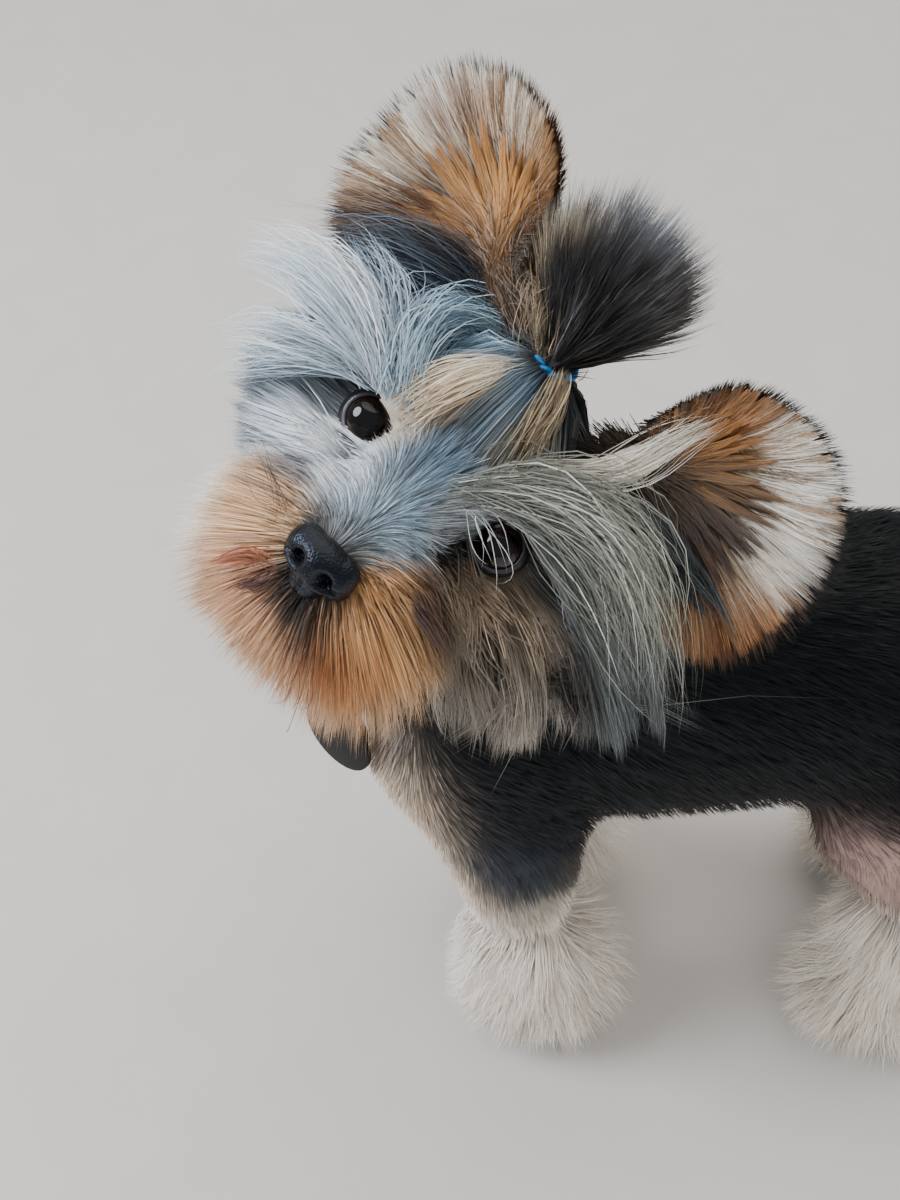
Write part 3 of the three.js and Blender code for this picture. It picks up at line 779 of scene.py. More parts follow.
def coat_piece(name, tufts, finish):
    """One mesh of all the blades in `tufts`, with its colours and its map."""
    spots = np.concatenate([t[0] for t in tufts])
    shift = np.cumsum([0] + [len(t[0]) for t in tufts[:-1]])
    four = np.concatenate([t[1] + s for t, s in zip(tufts, shift)])
    three = np.concatenate([t[2] + s for t, s in zip(tufts, shift)])
    corner = np.concatenate([four.ravel(), three.ravel()]).astype(np.int32)
    mesh = bpy.data.meshes.new(name)
    mesh.vertices.add(len(spots))
    mesh.vertices.foreach_set("co", (spots * MM + np.array(STANCE)).astype(np.float32).ravel())
    mesh.loops.add(len(corner))
    mesh.loops.foreach_set("vertex_index", corner)
    mesh.polygons.add(len(four) + len(three))
    starts = np.concatenate([np.arange(len(four)) * 4, len(four) * 4 + np.arange(len(three)) * 3])
    mesh.polygons.foreach_set("loop_start", starts.astype(np.int32))
    mesh.update(calc_edges=True)
    mesh.shade_smooth()
    stain(mesh, np.concatenate([t[3] for t in tufts]))
    unwrap = mesh.uv_layers.new(name="OFBake")
    unwrap.data.foreach_set("uv", np.concatenate([t[4] for t in tufts])[corner].astype(np.float32).ravel())
    mesh.materials.append(finish)
    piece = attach(shown(name, mesh), "root")
    return piece


def toned(paths, places, root=0.55, tip=1.1):
    """Colours along each hair: those of `places`, darker at the root and paler at the tip."""
    done = np.linspace(0, 1, paths.shape[1])
    return places * (root + (tip - root) * np.minimum(1, done * 1.6))[None, :, None]


def marked(paths, shade_of, jitter=2.5):
    """The marks of the coat where each hair lies, with ragged borders between them."""
    lie = paths + draw.normal(0, jitter, (len(paths), 1, 3))
    return shade_of(lie.reshape(-1, 3)).reshape(*paths.shape[:2], 3)


silky = coat_finish("silky hair", 0.42, 1400, 0.5)


def tufts_on(
    where, comb, unroll, count, length, steps, layer, width, shade_of, lock=(12, 0.4), wave=None,
    tone=(0.65, 1.12), spread=0.15, ragged=2.2, roll=0.5, **how
):
    """Hair on the faces that `where` picks: grown, drawn into locks, coloured and made into blades."""
    spots, ways = roots(count, where)
    reach = draw.uniform(*length, len(spots))
    paths, kept = grow(spots, ways, comb, reach, steps, draw.uniform(*layer, len(spots)), **how)
    run = np.linalg.norm(np.diff(paths, axis=1), axis=2).sum(1)
    along = paths[:, -1] - paths[:, 0]
    straight = np.linalg.norm(along, axis=1) > 0.72 * run
    alive = (kept * reach > 1.5) & straight & ((along * comb(spots, 0)).sum(1) > 0.35 * run)
    spots, paths = spots[alive], paths[alive]
    paths, follow = locked(paths, *lock)
    if wave:
        paths = waved(paths, follow, *wave)
    paths[..., 2] = np.maximum(paths[..., 2], 0.5)
    dark_or_pale = lock_tones(follow, 1.5 * spread)
    colours = toned(paths, marked(paths, shade_of, ragged) * dark_or_pale, *tone)
    return blades(paths, width, colours, spread, unrolled(spots, *unroll), roll)


def sprig(points, count, thick, thin, steps=8):
    """A loose lock through points on the head, `thick` across at its root and `thin` at its tip."""
    points = np.array([on_head(*p) for p in points])
    knots = np.linspace(0, 1, len(points))
    done = np.linspace(0, 1, steps + 1)
    line = np.stack([np.interp(done, knots, points[:, i]) for i in range(3)], 1)
    for _ in range(3):
        line[1:-1] = line[1:-1] / 2 + (line[:-2] + line[2:]) / 4
    count = max(3, int(count * FULL_COAT))
    first, last = draw.uniform(0, 0.28, (count, 1)), draw.uniform(0.7, 1.0, (count, 1))
    share = first + (last - first) * done
    paths = np.stack([np.interp(share, done, line[:, i]) for i in range(3)], 2)
    scatter = np.clip(draw.normal(0, 0.5, (count, 1, 3)), -0.8, 0.8)
    scatter = scatter * (thick + (thin - thick) * share)[..., None]
    bend = draw.normal(0, 0.5, (count, 1, 3)) * (np.sin(done * math.pi) * thin)[None, :, None]
    return paths + scatter + bend


# Trunk, neck, tail and upper legs: clipped hair that lies back along the body and down the legs.
# It is short, dense and sleek, so the tufts only break the surface up, and they are finer on the legs.
def lie_of_body(places, done):
    x, y, z = places.T
    side = np.sign(x)
    leg = stepped(-z, -124, 30)
    chest = stepped(-y, 20, 30) * (1 - leg)
    back = np.stack([0 * x, 0.9 - 0.9 * chest, -0.35 - 0.6 * chest], 1)
    down = np.stack([side * 0.05, 0.25 + 0 * x, -1 + 0 * x], 1)
    tail = stepped(y, 128, 12) * stepped(z, 165, 10)
    along_tail = np.array((0, 0.35, 0.94))
    way = unit(back * (1 - leg[:, None]) + down * leg[:, None])
    return unit(way * (1 - tail[:, None]) + along_tail * tail[:, None])


x, y, z = face_middles.T
local = head_points(face_middles)
near_head = np.linalg.norm((local - (0, -28, -6)) / (46, 50, 40), axis=1) < 1
is_head = (z > 196) & (y < 60) | near_head & (z > 170)
upper = ~is_head & (z > cuff_at(y) - 5)
shaved = np.exp(-(((np.abs(x) - 42) / 12) ** 2 + ((y - 100) / 15) ** 2 + ((z - 100) / 19) ** 2))
LEGS_TOP = 118
BODY_UNROLL = ((0, 0, 140), (0, 1, 0), -70, 260)
clipped = coat_finish("clipped hair", 0.5, 1200, 0.32)
coat_piece("body_coat", [
    tufts_on(
        where * (1 - 0.96 * shaved), lie_of_body, BODY_UNROLL, count, length, 2, (0.65, 0.95), width,
        body_shades, lock=(5, 0.12, 0.25), tone=(0.85, 1.08), spread=0.07, ragged=3, roll=0.25, lift=0.15,
        bend=0.3, trim=(0.4, 0.3),
    )
    for count, where, length, width in (
        (41000, upper & (z > LEGS_TOP), (6.5, 9.5), 0.5), (19000, upper & (z <= LEGS_TOP), (5.5, 8), 0.45),
    )
], clipped)

# Boots: the hair of the lower legs is left long, brushed out all round and scissored level with the floor.
# It springs from under the clipped sleeve of each leg and falls over the paw.
for name, feet, foot_x, back, cuff in (
    ("fore", FORE_FOOT_Y, FORE_FOOT_X, 0, FORE_CUFF), ("hind", HIND_FOOT_Y, HIND_FOOT_X, 4, HIND_CUFF),
):
    tufts = []
    for side in (1, -1):
        foot = np.array((side * foot_x, feet[side] + back, 0))

        def lie_of_boot(places, done):
            off = places - foot
            off[:, 2] = 0
            outward = unit(off)
            return unit(outward * (0.8 - 0.35 * done) + np.array((0, 0, -0.55 - 0.6 * done)))

        near = (np.abs(x - foot[0]) < 26) & (np.abs(y - foot[1]) < 36) & (z < cuff + 3) & (z > 2)
        for count, length, layer in ((6600, (26, 46), (0.85, 1.05)), (2400, (12, 28), (0.4, 0.9))):
            layer_tufts = tufts_on(
                near * (0.4 + z / cuff), lie_of_boot, (foot, (0, 0, 1), 0, cuff + 4), count, length, 4, layer,
                0.42, body_shades, lock=(16, 0.3, 1.5), wave=(1.5, 18), tone=(0.84, 1.06), spread=0.06,
                ragged=3, pull=1.2, bend=0.45, lift=0.6, trim=(0.0, 0.8),
            )
            layer_tufts[4][:, 0] = layer_tufts[4][:, 0] / 2 + (0.5 if side > 0 else 0)
            tufts.append(layer_tufts)
    coat_piece(f"{name}_boot_hair", tufts, silky)

# Muzzle: fine hair that springs from the sides of the snout, the lips and the chin, all round the nose.
# It radiates from the nose, hangs a little and is scissored to a wide ball. On top of the snout it is short.
DOWN_ON_HEAD = HEAD_AXES @ (0, 0, -1)


def lie_of_muzzle(places, done):
    local = head_points(places)
    out = local * (1, 0, 1) - (0, 0, NOSE[2] + 1)
    out[:, 2] -= 2
    way = unit(out) + 0.35 * DOWN_ON_HEAD * done + np.array((0, 0.3 - 0.3 * done, 0))
    return unit(way) @ HEAD_AXES


left, ahead, high = local.T
snout_axis = -11 - 4.5 * np.clip(ahead, 0, 33) / 33
snout_top = (high - snout_axis) / np.maximum(np.hypot(left, high - snout_axis), 1e-6)
eye_gap = np.min([np.linalg.norm(face_middles - c, axis=1) for c in EYE_MIDDLES.values()], axis=0)
EYE_CLEAR = 8.8
on_snout = is_head & (ahead > -2) & (eye_gap > EYE_CLEAR)
beard = is_head & ((on_snout & (snout_top < 0.62)) | ((ahead > -12) & (high < -20)))
bridge = on_snout & (snout_top >= 0.55) & (ahead > 2)
SNOUT_UNROLL = (on_head(0, 0, -16), FORWARD, -14, 56)
coat_piece("muzzle_hair", [
    tufts_on(
        beard * (1 + 1.5 * (ahead > 20)), lie_of_muzzle, SNOUT_UNROLL, count, length, steps, layer, width,
        head_shades, lock=(9, 0.14, 0.7), tone=tone, spread=spread, ragged=2, pull=1.1, bend=0.4, lift=0.5,
        trim=(-0.2, 0.8),
    )
    for count, length, steps, layer, width, tone, spread in (
        (5000, (5, 11), 3, (0.3, 0.7), 0.6, (0.8, 1.0), 0.1),
        (11500, (40, 52), 5, (0.9, 1.06), 0.33, (0.8, 1.1), 0.09),
        (4500, (22, 40), 4, (0.4, 0.95), 0.42, (0.65, 1.0), 0.12),
    )
], silky)

# Bridge of the nose: short hair that lies back from the nose and parts to both sides between the eyes.
# It is steel blue, and its ends lie over the roots of the longer hair round it.
lie_of_bridge = combed((
    ((0, 34, -8), (0, -0.8, 0.5)), ((0, 20, -2), (0, -0.85, 0.5)), ((-9, 21, -5), (-0.95, -0.2, 0)),
    ((9, 21, -5), (0.95, -0.2, 0)), ((0, 8, 4), (0, -0.7, 0.7)), ((-12, 8, -2), (-0.8, -0.1, -0.2)),
    ((8, 8, 5), (0.7, -0.5, 0.4)), ((-8, 30, -12), (-0.95, -0.1, -0.3)), ((8, 30, -12), (0.95, -0.1, -0.3)),
), 6)
bridge_tufts = [
    tufts_on(
        bridge, lie_of_bridge, SNOUT_UNROLL, count, length, 4, (0.6, 1.25), 0.36, head_shades,
        lock=(8, 0.3, 0.6), tone=(0.7, 1.2), spread=0.18, ragged=1.8, lift=0.4, trim=(1.5, 0.8),
    )
    for count, length in ((4500, (5, 9)), (5000, (9, 17)))
]

# Crown and forehead: long hair gathered from the brows, the temples and the back of the skull to the elastic.
# In front of the right ear some of it has worked loose into a soft bump.
BAND = (0, -29, 37)
band_spot = np.array(on_head(*BAND))
TOPKNOT_LEAN = math.radians(20)
top_axis = HEAD_AXES.T @ (0, math.sin(TOPKNOT_LEAN), math.cos(TOPKNOT_LEAN))
under_band = band_spot - 3.6 * top_axis
to_band = np.linalg.norm(local - BAND, axis=1)
gathered = is_head & (high > 3) & (to_band < 52) & (np.abs(left) < 28) & (ahead < 12)
gathered = gathered & ~bridge & (eye_gap > EYE_CLEAR)
SKULL_UNROLL = (on_head(0, -24, -8), on_head(0, 0, 1) - on_head(0, 0, 0), -40, 70)


def lie_to_band(places, done):
    return unit(under_band - places)


spots, ways = roots(10500, gathered)
length = np.linalg.norm(spots - under_band, axis=1) * 1.22
from_bump = (head_points(spots)[:, :2] - (-24, -16)) / (9, 12)
in_bump = np.exp(-(from_bump**2).sum(1))
paths, kept = grow(
    spots, ways, lie_to_band, length, 5, draw.uniform(0.5, 1.05, len(spots)) + 0.5 * in_bump, pull=0.7,
    bend=0.35, lift=0.3, trim=(2.0, 0.7),
)
reached = np.linalg.norm(paths - under_band, axis=2) < 3.0
share = np.where(reached.any(1), np.argmax(reached, 1) + 0.2, 5) / 5
paths = cut(paths, np.minimum(share, 1))
paths, follow = locked(paths, 12, 0.3, 0.4)
dark_or_pale = lock_tones(follow, 0.22)
colours = toned(paths, marked(paths, head_shades, 1.6) * dark_or_pale, 0.6, 1.1)
crown_tufts = [blades(paths, 0.38, colours, 0.18, unrolled(spots, *SKULL_UNROLL))]
crown_tufts.append(tufts_on(
    gathered, lie_to_band, SKULL_UNROLL, 5500, (5, 10), 3, (0.3, 0.8), 0.5, head_shades, tone=(0.4, 0.7),
))
coat_piece("crown_hair", crown_tufts, silky)
coat_piece("bridge_hair", bridge_tufts, silky)

# Cheeks, brows and the long fall: silky hair parted over the bridge of the nose and combed out and down.
# The right side is brushed back in pale wisps. The left side falls past the eye over the cheek.
right_guides = (
    ((-9, 21, -5), (-0.98, 0, -0.2)), ((-18, 3, -11), (-0.85, 0.1, -0.5)),
    ((-33, 2, -12), (-0.75, -0.2, -0.6)), ((-39, -1, -6), (-0.8, -0.45, -0.4)),
    ((-47, -5, -6), (-0.8, -0.5, -0.35)), ((-34, -2, 3), (-0.92, -0.3, -0.1)),
    ((-30, -12, -30), (-0.6, -0.2, -0.75)), ((-48, -20, -20), (-0.7, -0.4, -0.6)),
    ((-45, -24, 8), (-0.9, -0.4, 0)), ((-34, -40, 12), (-0.8, -0.6, -0.2)),
    ((-30, -52, -10), (-0.5, -0.6, -0.7)),
)
left_guides = (
    ((9, 21, -5), (0.9, -0.2, -0.3)), ((18, 8, -10), (0.7, 0.3, -0.6)), ((30, 0, -9), (0.75, 0.05, -0.65)),
    ((41, -2, -8), (0.76, -0.2, -0.6)), ((40, -1, -30), (0.5, -0.15, -0.85)),
    ((54, -13, -9), (0.75, -0.05, -0.66)), ((33, -4, 6), (0.8, -0.55, -0.2)),
    ((42, -19, 11), (0.97, 0, -0.25)), ((60, -17, 0), (0.92, -0.1, -0.4)), ((72, -20, 2), (0.8, -0.15, -0.6)),
    ((76, -26, -14), (0.55, -0.2, -0.8)), ((30, -12, -30), (0.55, -0.2, -0.8)),
    ((34, -40, 12), (0.85, -0.5, -0.2)),
    ((30, -52, -10), (0.5, -0.6, -0.7)), ((50, -34, -20), (0.5, -0.3, -0.8)),
)
back_of_head = is_head & (ahead < -44)
on_ear = {}
for side, ear in EARS.items():
    lean = math.radians(ear["lean"])
    along_leaf = np.array((side * math.sin(lean), 0, math.cos(lean)))
    up_ear = (local - (ear["centre"][0], 0, ear["centre"][2])) @ along_leaf + ear["length"]
    on_ear[side] = is_head & (up_ear > 12) & (high > 8) & (left * side > 14)
for name, side, guides, count, reach in (
    ("right", -1, right_guides, 8500, (24, 40)),
    ("left", 1, left_guides, 11000, (34, 58)),
):
    cheek = is_head & (left * side > 11) & (eye_gap > EYE_CLEAR)
    cheek = cheek & ~(beard | gathered | bridge | back_of_head | on_ear[side])
    comb = combed(guides, 9)
    cheek = cheek * (1 + 2 * np.exp(-(((eye_gap - 9) / 5) ** 2)))
    coat_piece(f"cheek_hair_{name}", [
        tufts_on(
            cheek, comb, SKULL_UNROLL, count, reach, 6, (0.6, 1.06), 0.38, head_shades, lock=(22, 0.55, 0.8),
            wave=(0.8, 34), tone=(0.42, 1.18), spread=0.2, ragged=2.4, pull=0.9, bend=0.5, lift=0.3,
            trim=(0.0, 2.3), sight=6.6,
        ),
        tufts_on(
            cheek, comb, SKULL_UNROLL, count * 0.55, (7, 13), 3, (0.3, 0.7), 0.5, head_shades,
            tone=(0.45, 0.8), ragged=2.4,
        ),
    ], silky)

# Nape and throat: shorter hair under the fall, which runs into the clipped hair of the neck.
# It lies back and down, and a collar is buckled round the neck in it, lower in front.
COLLAR_CENTRE = (10, -23, 176)
COLLAR_DROP = math.radians(10)
RUFF_SLOPE = 0.18
nape = is_head & (back_of_head | (high < -20) & (ahead < -8)) & ~(beard | on_ear[1] | on_ear[-1])


def lie_of_nape(places, done):
    back = unit(head_points(places) * (0.02, 0, 0) - (0, 0.5, 0.5)) @ HEAD_AXES
    return unit(back + (0, 0.2, -0.8))


# Ruff: the hair that the collar lies in, from just above the strap down over it
def lie_of_ruff(places, done):
    off = (places - COLLAR_CENTRE) * (1, 1, 0)
    return unit(unit(off) * (0.75 - 0.5 * done) + np.array((0, 0, -0.9)))


from_strap = face_middles - COLLAR_CENTRE
above_strap = from_strap[:, 2] - RUFF_SLOPE * from_strap[:, 1]
on_neck = np.hypot(from_strap[:, 0] / 44, from_strap[:, 1] / 54) < 1
ruff = (above_strap > 1) & (above_strap < 20) & on_neck & ~beard


coat_piece("nape_hair", [
    tufts_on(
        ruff, lie_of_ruff, SKULL_UNROLL, 5500, (12, 22), 4, (1.2, 1.6), 0.5, neck_shades, lock=(8, 0.4, 0.8),
        tone=(0.6, 1.15), spread=0.18, ragged=2.5, bend=0.3, lift=0.8, trim=(4.0, 2.0),
    ),
    tufts_on(
        nape, lie_of_nape, SKULL_UNROLL, 7000, (18, 36), 4, (0.6, 1.05), 0.5, head_shades, lock=(10, 0.4),
        tone=(0.6, 1.15), spread=0.18, ragged=2.5, trim=(1.0, 1.2),
    )
], silky)

# Ears: long hair fans out from the inner root of each ear over both faces of the leaf, just past its rim.
# In front it is gold by the root, in pointed locks, and cream streaked with brown by the rim.
# Behind it is black. The marks are placed by shares of the half width and the length of the leaf.
EAR_MARKS = {
    -1: (
        ((-0.59, 0.53), 0.22, "#f1eadc"), ((-0.27, 0.71), 0.2, "#f6f0e6"), ((0.27, 0.85), 0.16, "#f2e9dc"),
        ((0.75, 0.6), 0.16, "#e9e0d2"), ((0.07, 0.62), 0.13, "#8a5f45"), ((0.35, 0.6), 0.1, "#94694c"),
        ((0.51, 0.48), 0.12, "#b08b66"), ((0.17, 0.27), 0.2, "#a89680"), ((0.6, 0.25), 0.18, "#d2c6b3"),
        ((0.85, 0), 0.18, "#c39464"), ((1.1, -0.16), 0.16, "#5b4630"), ((0.97, 0.08), 0.12, "#a98b63"),
        ((-0.8, 0.49), 0.18, "#e6d3b8"), ((-0.69, 0.23), 0.16, "#94704f"), ((-0.35, 0.42), 0.16, "#c0ac8e"),
        ((-0.55, 0.04), 0.17, "#5f4631"), ((-0.93, 0.19), 0.15, "#b39377"), ((-0.83, -0.06), 0.17, "#43342b"),
        ((-0.3, 0), 0.2, "#5f4630"), ((0.3, -0.1), 0.25, "#5d452f"), ((0, -0.4), 0.25, "#4c3b2c"),
        ((0.4, -0.75), 0.2, "#4a4236"),
    ),
    1: (
        ((-1.03, -0.2), 0.16, "#3c4040"), ((-0.97, 0.33), 0.14, "#453c34"), ((-0.97, 0.04), 0.14, "#8a6443"),
        ((-0.82, 0.19), 0.15, "#c18b59"), ((-0.6, -0.12), 0.2, "#ad7c4c"), ((-0.79, 0.45), 0.16, "#f1e8d8"),
        ((-0.69, 0.66), 0.16, "#e8e2d6"), ((-0.5, 0.84), 0.15, "#ddd8ce"), ((-0.23, 0.49), 0.25, "#d8d3c8"),
        ((-0.45, 0.15), 0.16, "#b3a28a"), ((-0.03, 0.3), 0.2, "#dcd8d0"), ((0.11, 0.61), 0.2, "#d6cfc3"),
        ((0.3, 0.45), 0.16, "#dbd6cb"), ((-0.2, 0.98), 0.1, "#7a5a3c"), ((0.05, 0.98), 0.1, "#2c2420"),
        ((0.42, 0.86), 0.14, "#18171a"), ((0.47, 0.3), 0.12, "#b6a088"), ((0.6, 0.6), 0.14, "#ad7e52"),
        ((0.87, 0.37), 0.18, "#a06d42"), ((0.93, 0.13), 0.18, "#96653d"), ((0.67, 0.13), 0.15, "#87664a"),
        ((0.75, -0.1), 0.18, "#7f6347"), ((0.33, 0.1), 0.15, "#836d55"), ((0.05, -0.16), 0.15, "#5a4a48"),
        ((0.33, -0.3), 0.2, "#2f2c2c"), ((-0.15, 0.08), 0.12, "#625652"), ((-0.3, -0.5), 0.2, "#4b4038"),
    ),
}
LOCK_MARKS = {
    -1: (
        ((-0.45, 0.05), 0.2, "#7b5636"), ((-0.2, 0), 0.2, "#ab7d4e"), ((0.15, 0), 0.2, "#b98752"),
        ((0.55, -0.1), 0.2, "#ae7f4b"), ((0.95, -0.1), 0.2, "#a97a49"), ((0.1, -0.5), 0.2, "#7d5a38"),
        ((0.4, -0.75), 0.2, "#634829"),
    ),
    1: (
        ((-0.85, 0), 0.2, "#a87648"), ((-0.6, -0.1), 0.2, "#b98450"), ((-0.3, 0), 0.2, "#6f5741"),
        ((0.1, -0.1), 0.2, "#4b413e"), ((0.5, -0.1), 0.2, "#5c4a3c"), ((-0.2, -0.5), 0.2, "#51463e"),
    ),
}
BEHIND = (
    ((0, 0), 0.7, "#23282e"), ((-0.3, 0.9), 0.35, "#141619"), ((1, 0), 0.3, "#6a4e36"),
    ((0.8, 0.55), 0.25, "#5d4733"), ((-1, 0), 0.3, "#33302d"),
)
# Where the scissors took the rim of each ear flatter: the turn round the ear and the share of the way cut off
EAR_CUT = {-1: (-0.62, 0.13), 1: (0.78, 0.08)}
CUT_REACH = 0.5
EAR_STEPS = 4


def fan(side, count, sweep, start, end, lift, scatter):
    """Hair from the inner root of an ear to its rim, and where it lies on the leaf.

    It begins and ends on shares of the way that are drawn between the two of `start` and of `end`.
    """
    count = int(count * FULL_COAT)
    turn = draw.uniform(*sweep, (count, 1))
    cut_at, cut_off = EAR_CUT[side]
    cut_off = cut_off * (1.15 if lift > 0 else 0.65)
    flatter = cut_off * np.exp(-(((turn - cut_at) / CUT_REACH) ** 2))
    rim = np.concatenate([np.sin(turn), np.cos(turn)], 1) * (1 - flatter)
    root = np.array((-side * 0.42, -0.72)) + draw.normal(0, scatter, (count, 2))
    begin, finish = draw.uniform(*start, (count, 1)), draw.uniform(*end, (count, 1))
    first, last = root + (rim - root) * begin, root + (rim - root) * finish
    square_on = last + (np.array((0, -0.35)) - rim) * 0.5 * (finish - begin)
    done = np.linspace(0, 1, EAR_STEPS + 1)[None, :, None]
    lie = first[:, None] * (1 - done) ** 2 + square_on[:, None] * 2 * done * (1 - done)
    lie = lie + last[:, None] * done**2
    away = np.linalg.norm(lie - root[:, None], axis=2)
    face = np.sign(lift)
    rise = draw.uniform(0.3, 1.0, (count, 1)) * lift
    forward = face * (1.6 + 4.5 * np.exp(-((away / 0.3) ** 2))) + (rise - face * 1.2) * done[..., 0] ** 0.7
    return ear_points(side, lie[..., 0], lie[..., 1], forward), lie


for name, side in SIDES.items():
    tufts = []
    for count, layout, marks, streaked, lock, width, tone in (
        (
            3600, ((-2.5, 2.5), (0.02, 0.75), (0.93, 1.07), -3.5, 0.12),
            BEHIND, 0.12, (12, 0.25, 0.5), 0.5, (0.8, 1.0),
        ),
        (
            9000, ((-2.4, 2.4), (0.12, 0.8), (0.86, 1.01), 2.6, 0.12),
            EAR_MARKS[side], 0.24, (26, 0.4, 0.45, 4), 0.36, (0.64, 1.16),
        ),
        (
            3000, ((-1.3, 1.6), (-0.26, 0.15), (0.5, 0.74), 5.5, 0.06),
            LOCK_MARKS[side], 0.12, (45, 0.9, 0.2, 3), 0.36, (0.4, 1.2),
        ),
    ):
        paths, lie = fan(side, count, *layout)
        paths, follow = locked(paths, *lock)
        dark_or_pale = lock_tones(follow, 0.17)
        streak = (draw.random(len(paths)) < streaked)[follow][:, None, None]
        dark_or_pale = dark_or_pale * np.where(streak, (0.55, 0.42, 0.32), 1.0)
        ragged = lie + draw.normal(0, 0.05, (len(lie), 1, 2)) + draw.normal(0, 0.05, (len(lie), 1, 2))[follow]
        base = shades(ragged.reshape(-1, 2), marks).reshape(*lie.shape[:2], 3) * dark_or_pale
        colours = toned(paths, base, *tone)
        face = np.sign(layout[3])
        halfway = lie[:, 2].T
        facing = unit(ear_points(side, *halfway, 5.0) - ear_points(side, *halfway, 0.0)) * face
        patch = np.clip(lie[:, 0] * 0.2 + (0.25 + 0.5 * (face < 0), 0.5), 0, 1)
        tufts.append(blades(paths, width, colours, 0.1, patch, roll=0.4, ways=facing))
    coat_piece(f"ear_hair_{name}", tufts, silky)

# Topknot: above the elastic the gathered hair flares into an upright tuft, charcoal with grey and tan.
# It leans forward, and its ends are scissored roughly to a dome.
# Its marks are placed by the shares of the way to its left, to its back and up it.
TOPKNOT_HEIGHT = 53
NECK_RADIUS = 2.9
top_left = HEAD_AXES[0]
top_back = np.cross(top_axis, top_left)
TOPKNOT_MARKS = (
    ((-1.0, 0, 0.25), 0.4, "#cdb996"), ((-1.0, 0.2, 0.7), 0.4, "#8f8d8a"), ((0, 0.8, 0.95), 0.5, "#8b9199"),
    ((0, 0.8, 0.45), 0.4, "#4f5358"), ((0.9, 0.2, 0.5), 0.5, "#35322f"), ((0.9, 0, 0.95), 0.4, "#6a696a"),
    ((0, -0.9, 0.6), 0.5, "#3b3b3d"), ((0, 0, 0.1), 0.3, "#7f7360"), ((0.5, 0.6, 0.15), 0.3, "#6b5b48"),
    ((0.7, 0.7, 0.6), 0.3, "#5a4c3f"),
)
TOPKNOT_STEPS = 5
count = int(10500 * FULL_COAT)
turn = draw.uniform(0, 2 * math.pi, (count, 1))
out = draw.random((count, 1)) ** 0.6
done = np.linspace(0, 1, TOPKNOT_STEPS + 1)[None]
climb = done * TOPKNOT_HEIGHT * (1.0 - 0.25 * out**2) * draw.uniform(0.8, 1.08, (count, 1))
radius = out * (NECK_RADIUS + 0.66 * np.maximum(climb - 4, 0) * (1 - 0.12 * done))
ring = np.cos(turn)[..., None] * top_left + np.sin(turn)[..., None] * top_back
paths = under_band + climb[..., None] * top_axis + radius[..., None] * ring
paths, kept = trimmed(paths, (1.2, 1.6), sure=2)
paths, follow = locked(paths, 18, 0.0)
sway = draw.normal(0, 1.4, (count, 1, 3))[follow] + draw.normal(0, 0.7, (count, 1, 3))
paths = waved(paths + sway * (done**1.5)[..., None], follow, 0.8, 30)
dark_or_pale = lock_tones(follow, 0.42)
marks_at = np.stack([np.cos(turn) * out + 0 * done, np.sin(turn) * out + 0 * done, climb / TOPKNOT_HEIGHT], 2)
base = shades(marks_at.reshape(-1, 3), TOPKNOT_MARKS).reshape(*paths.shape) * dark_or_pale
patch = np.c_[turn / (2 * math.pi), out]
ways = unit(ring[:, 0] + 0.2 * draw.normal(size=(count, 3)))
topknot_tufts = [blades(paths, 0.38, toned(paths, base, 0.8, 1.15), 0.3, patch, ways=ways)]
coat_piece("topknot_hair", topknot_tufts, silky)
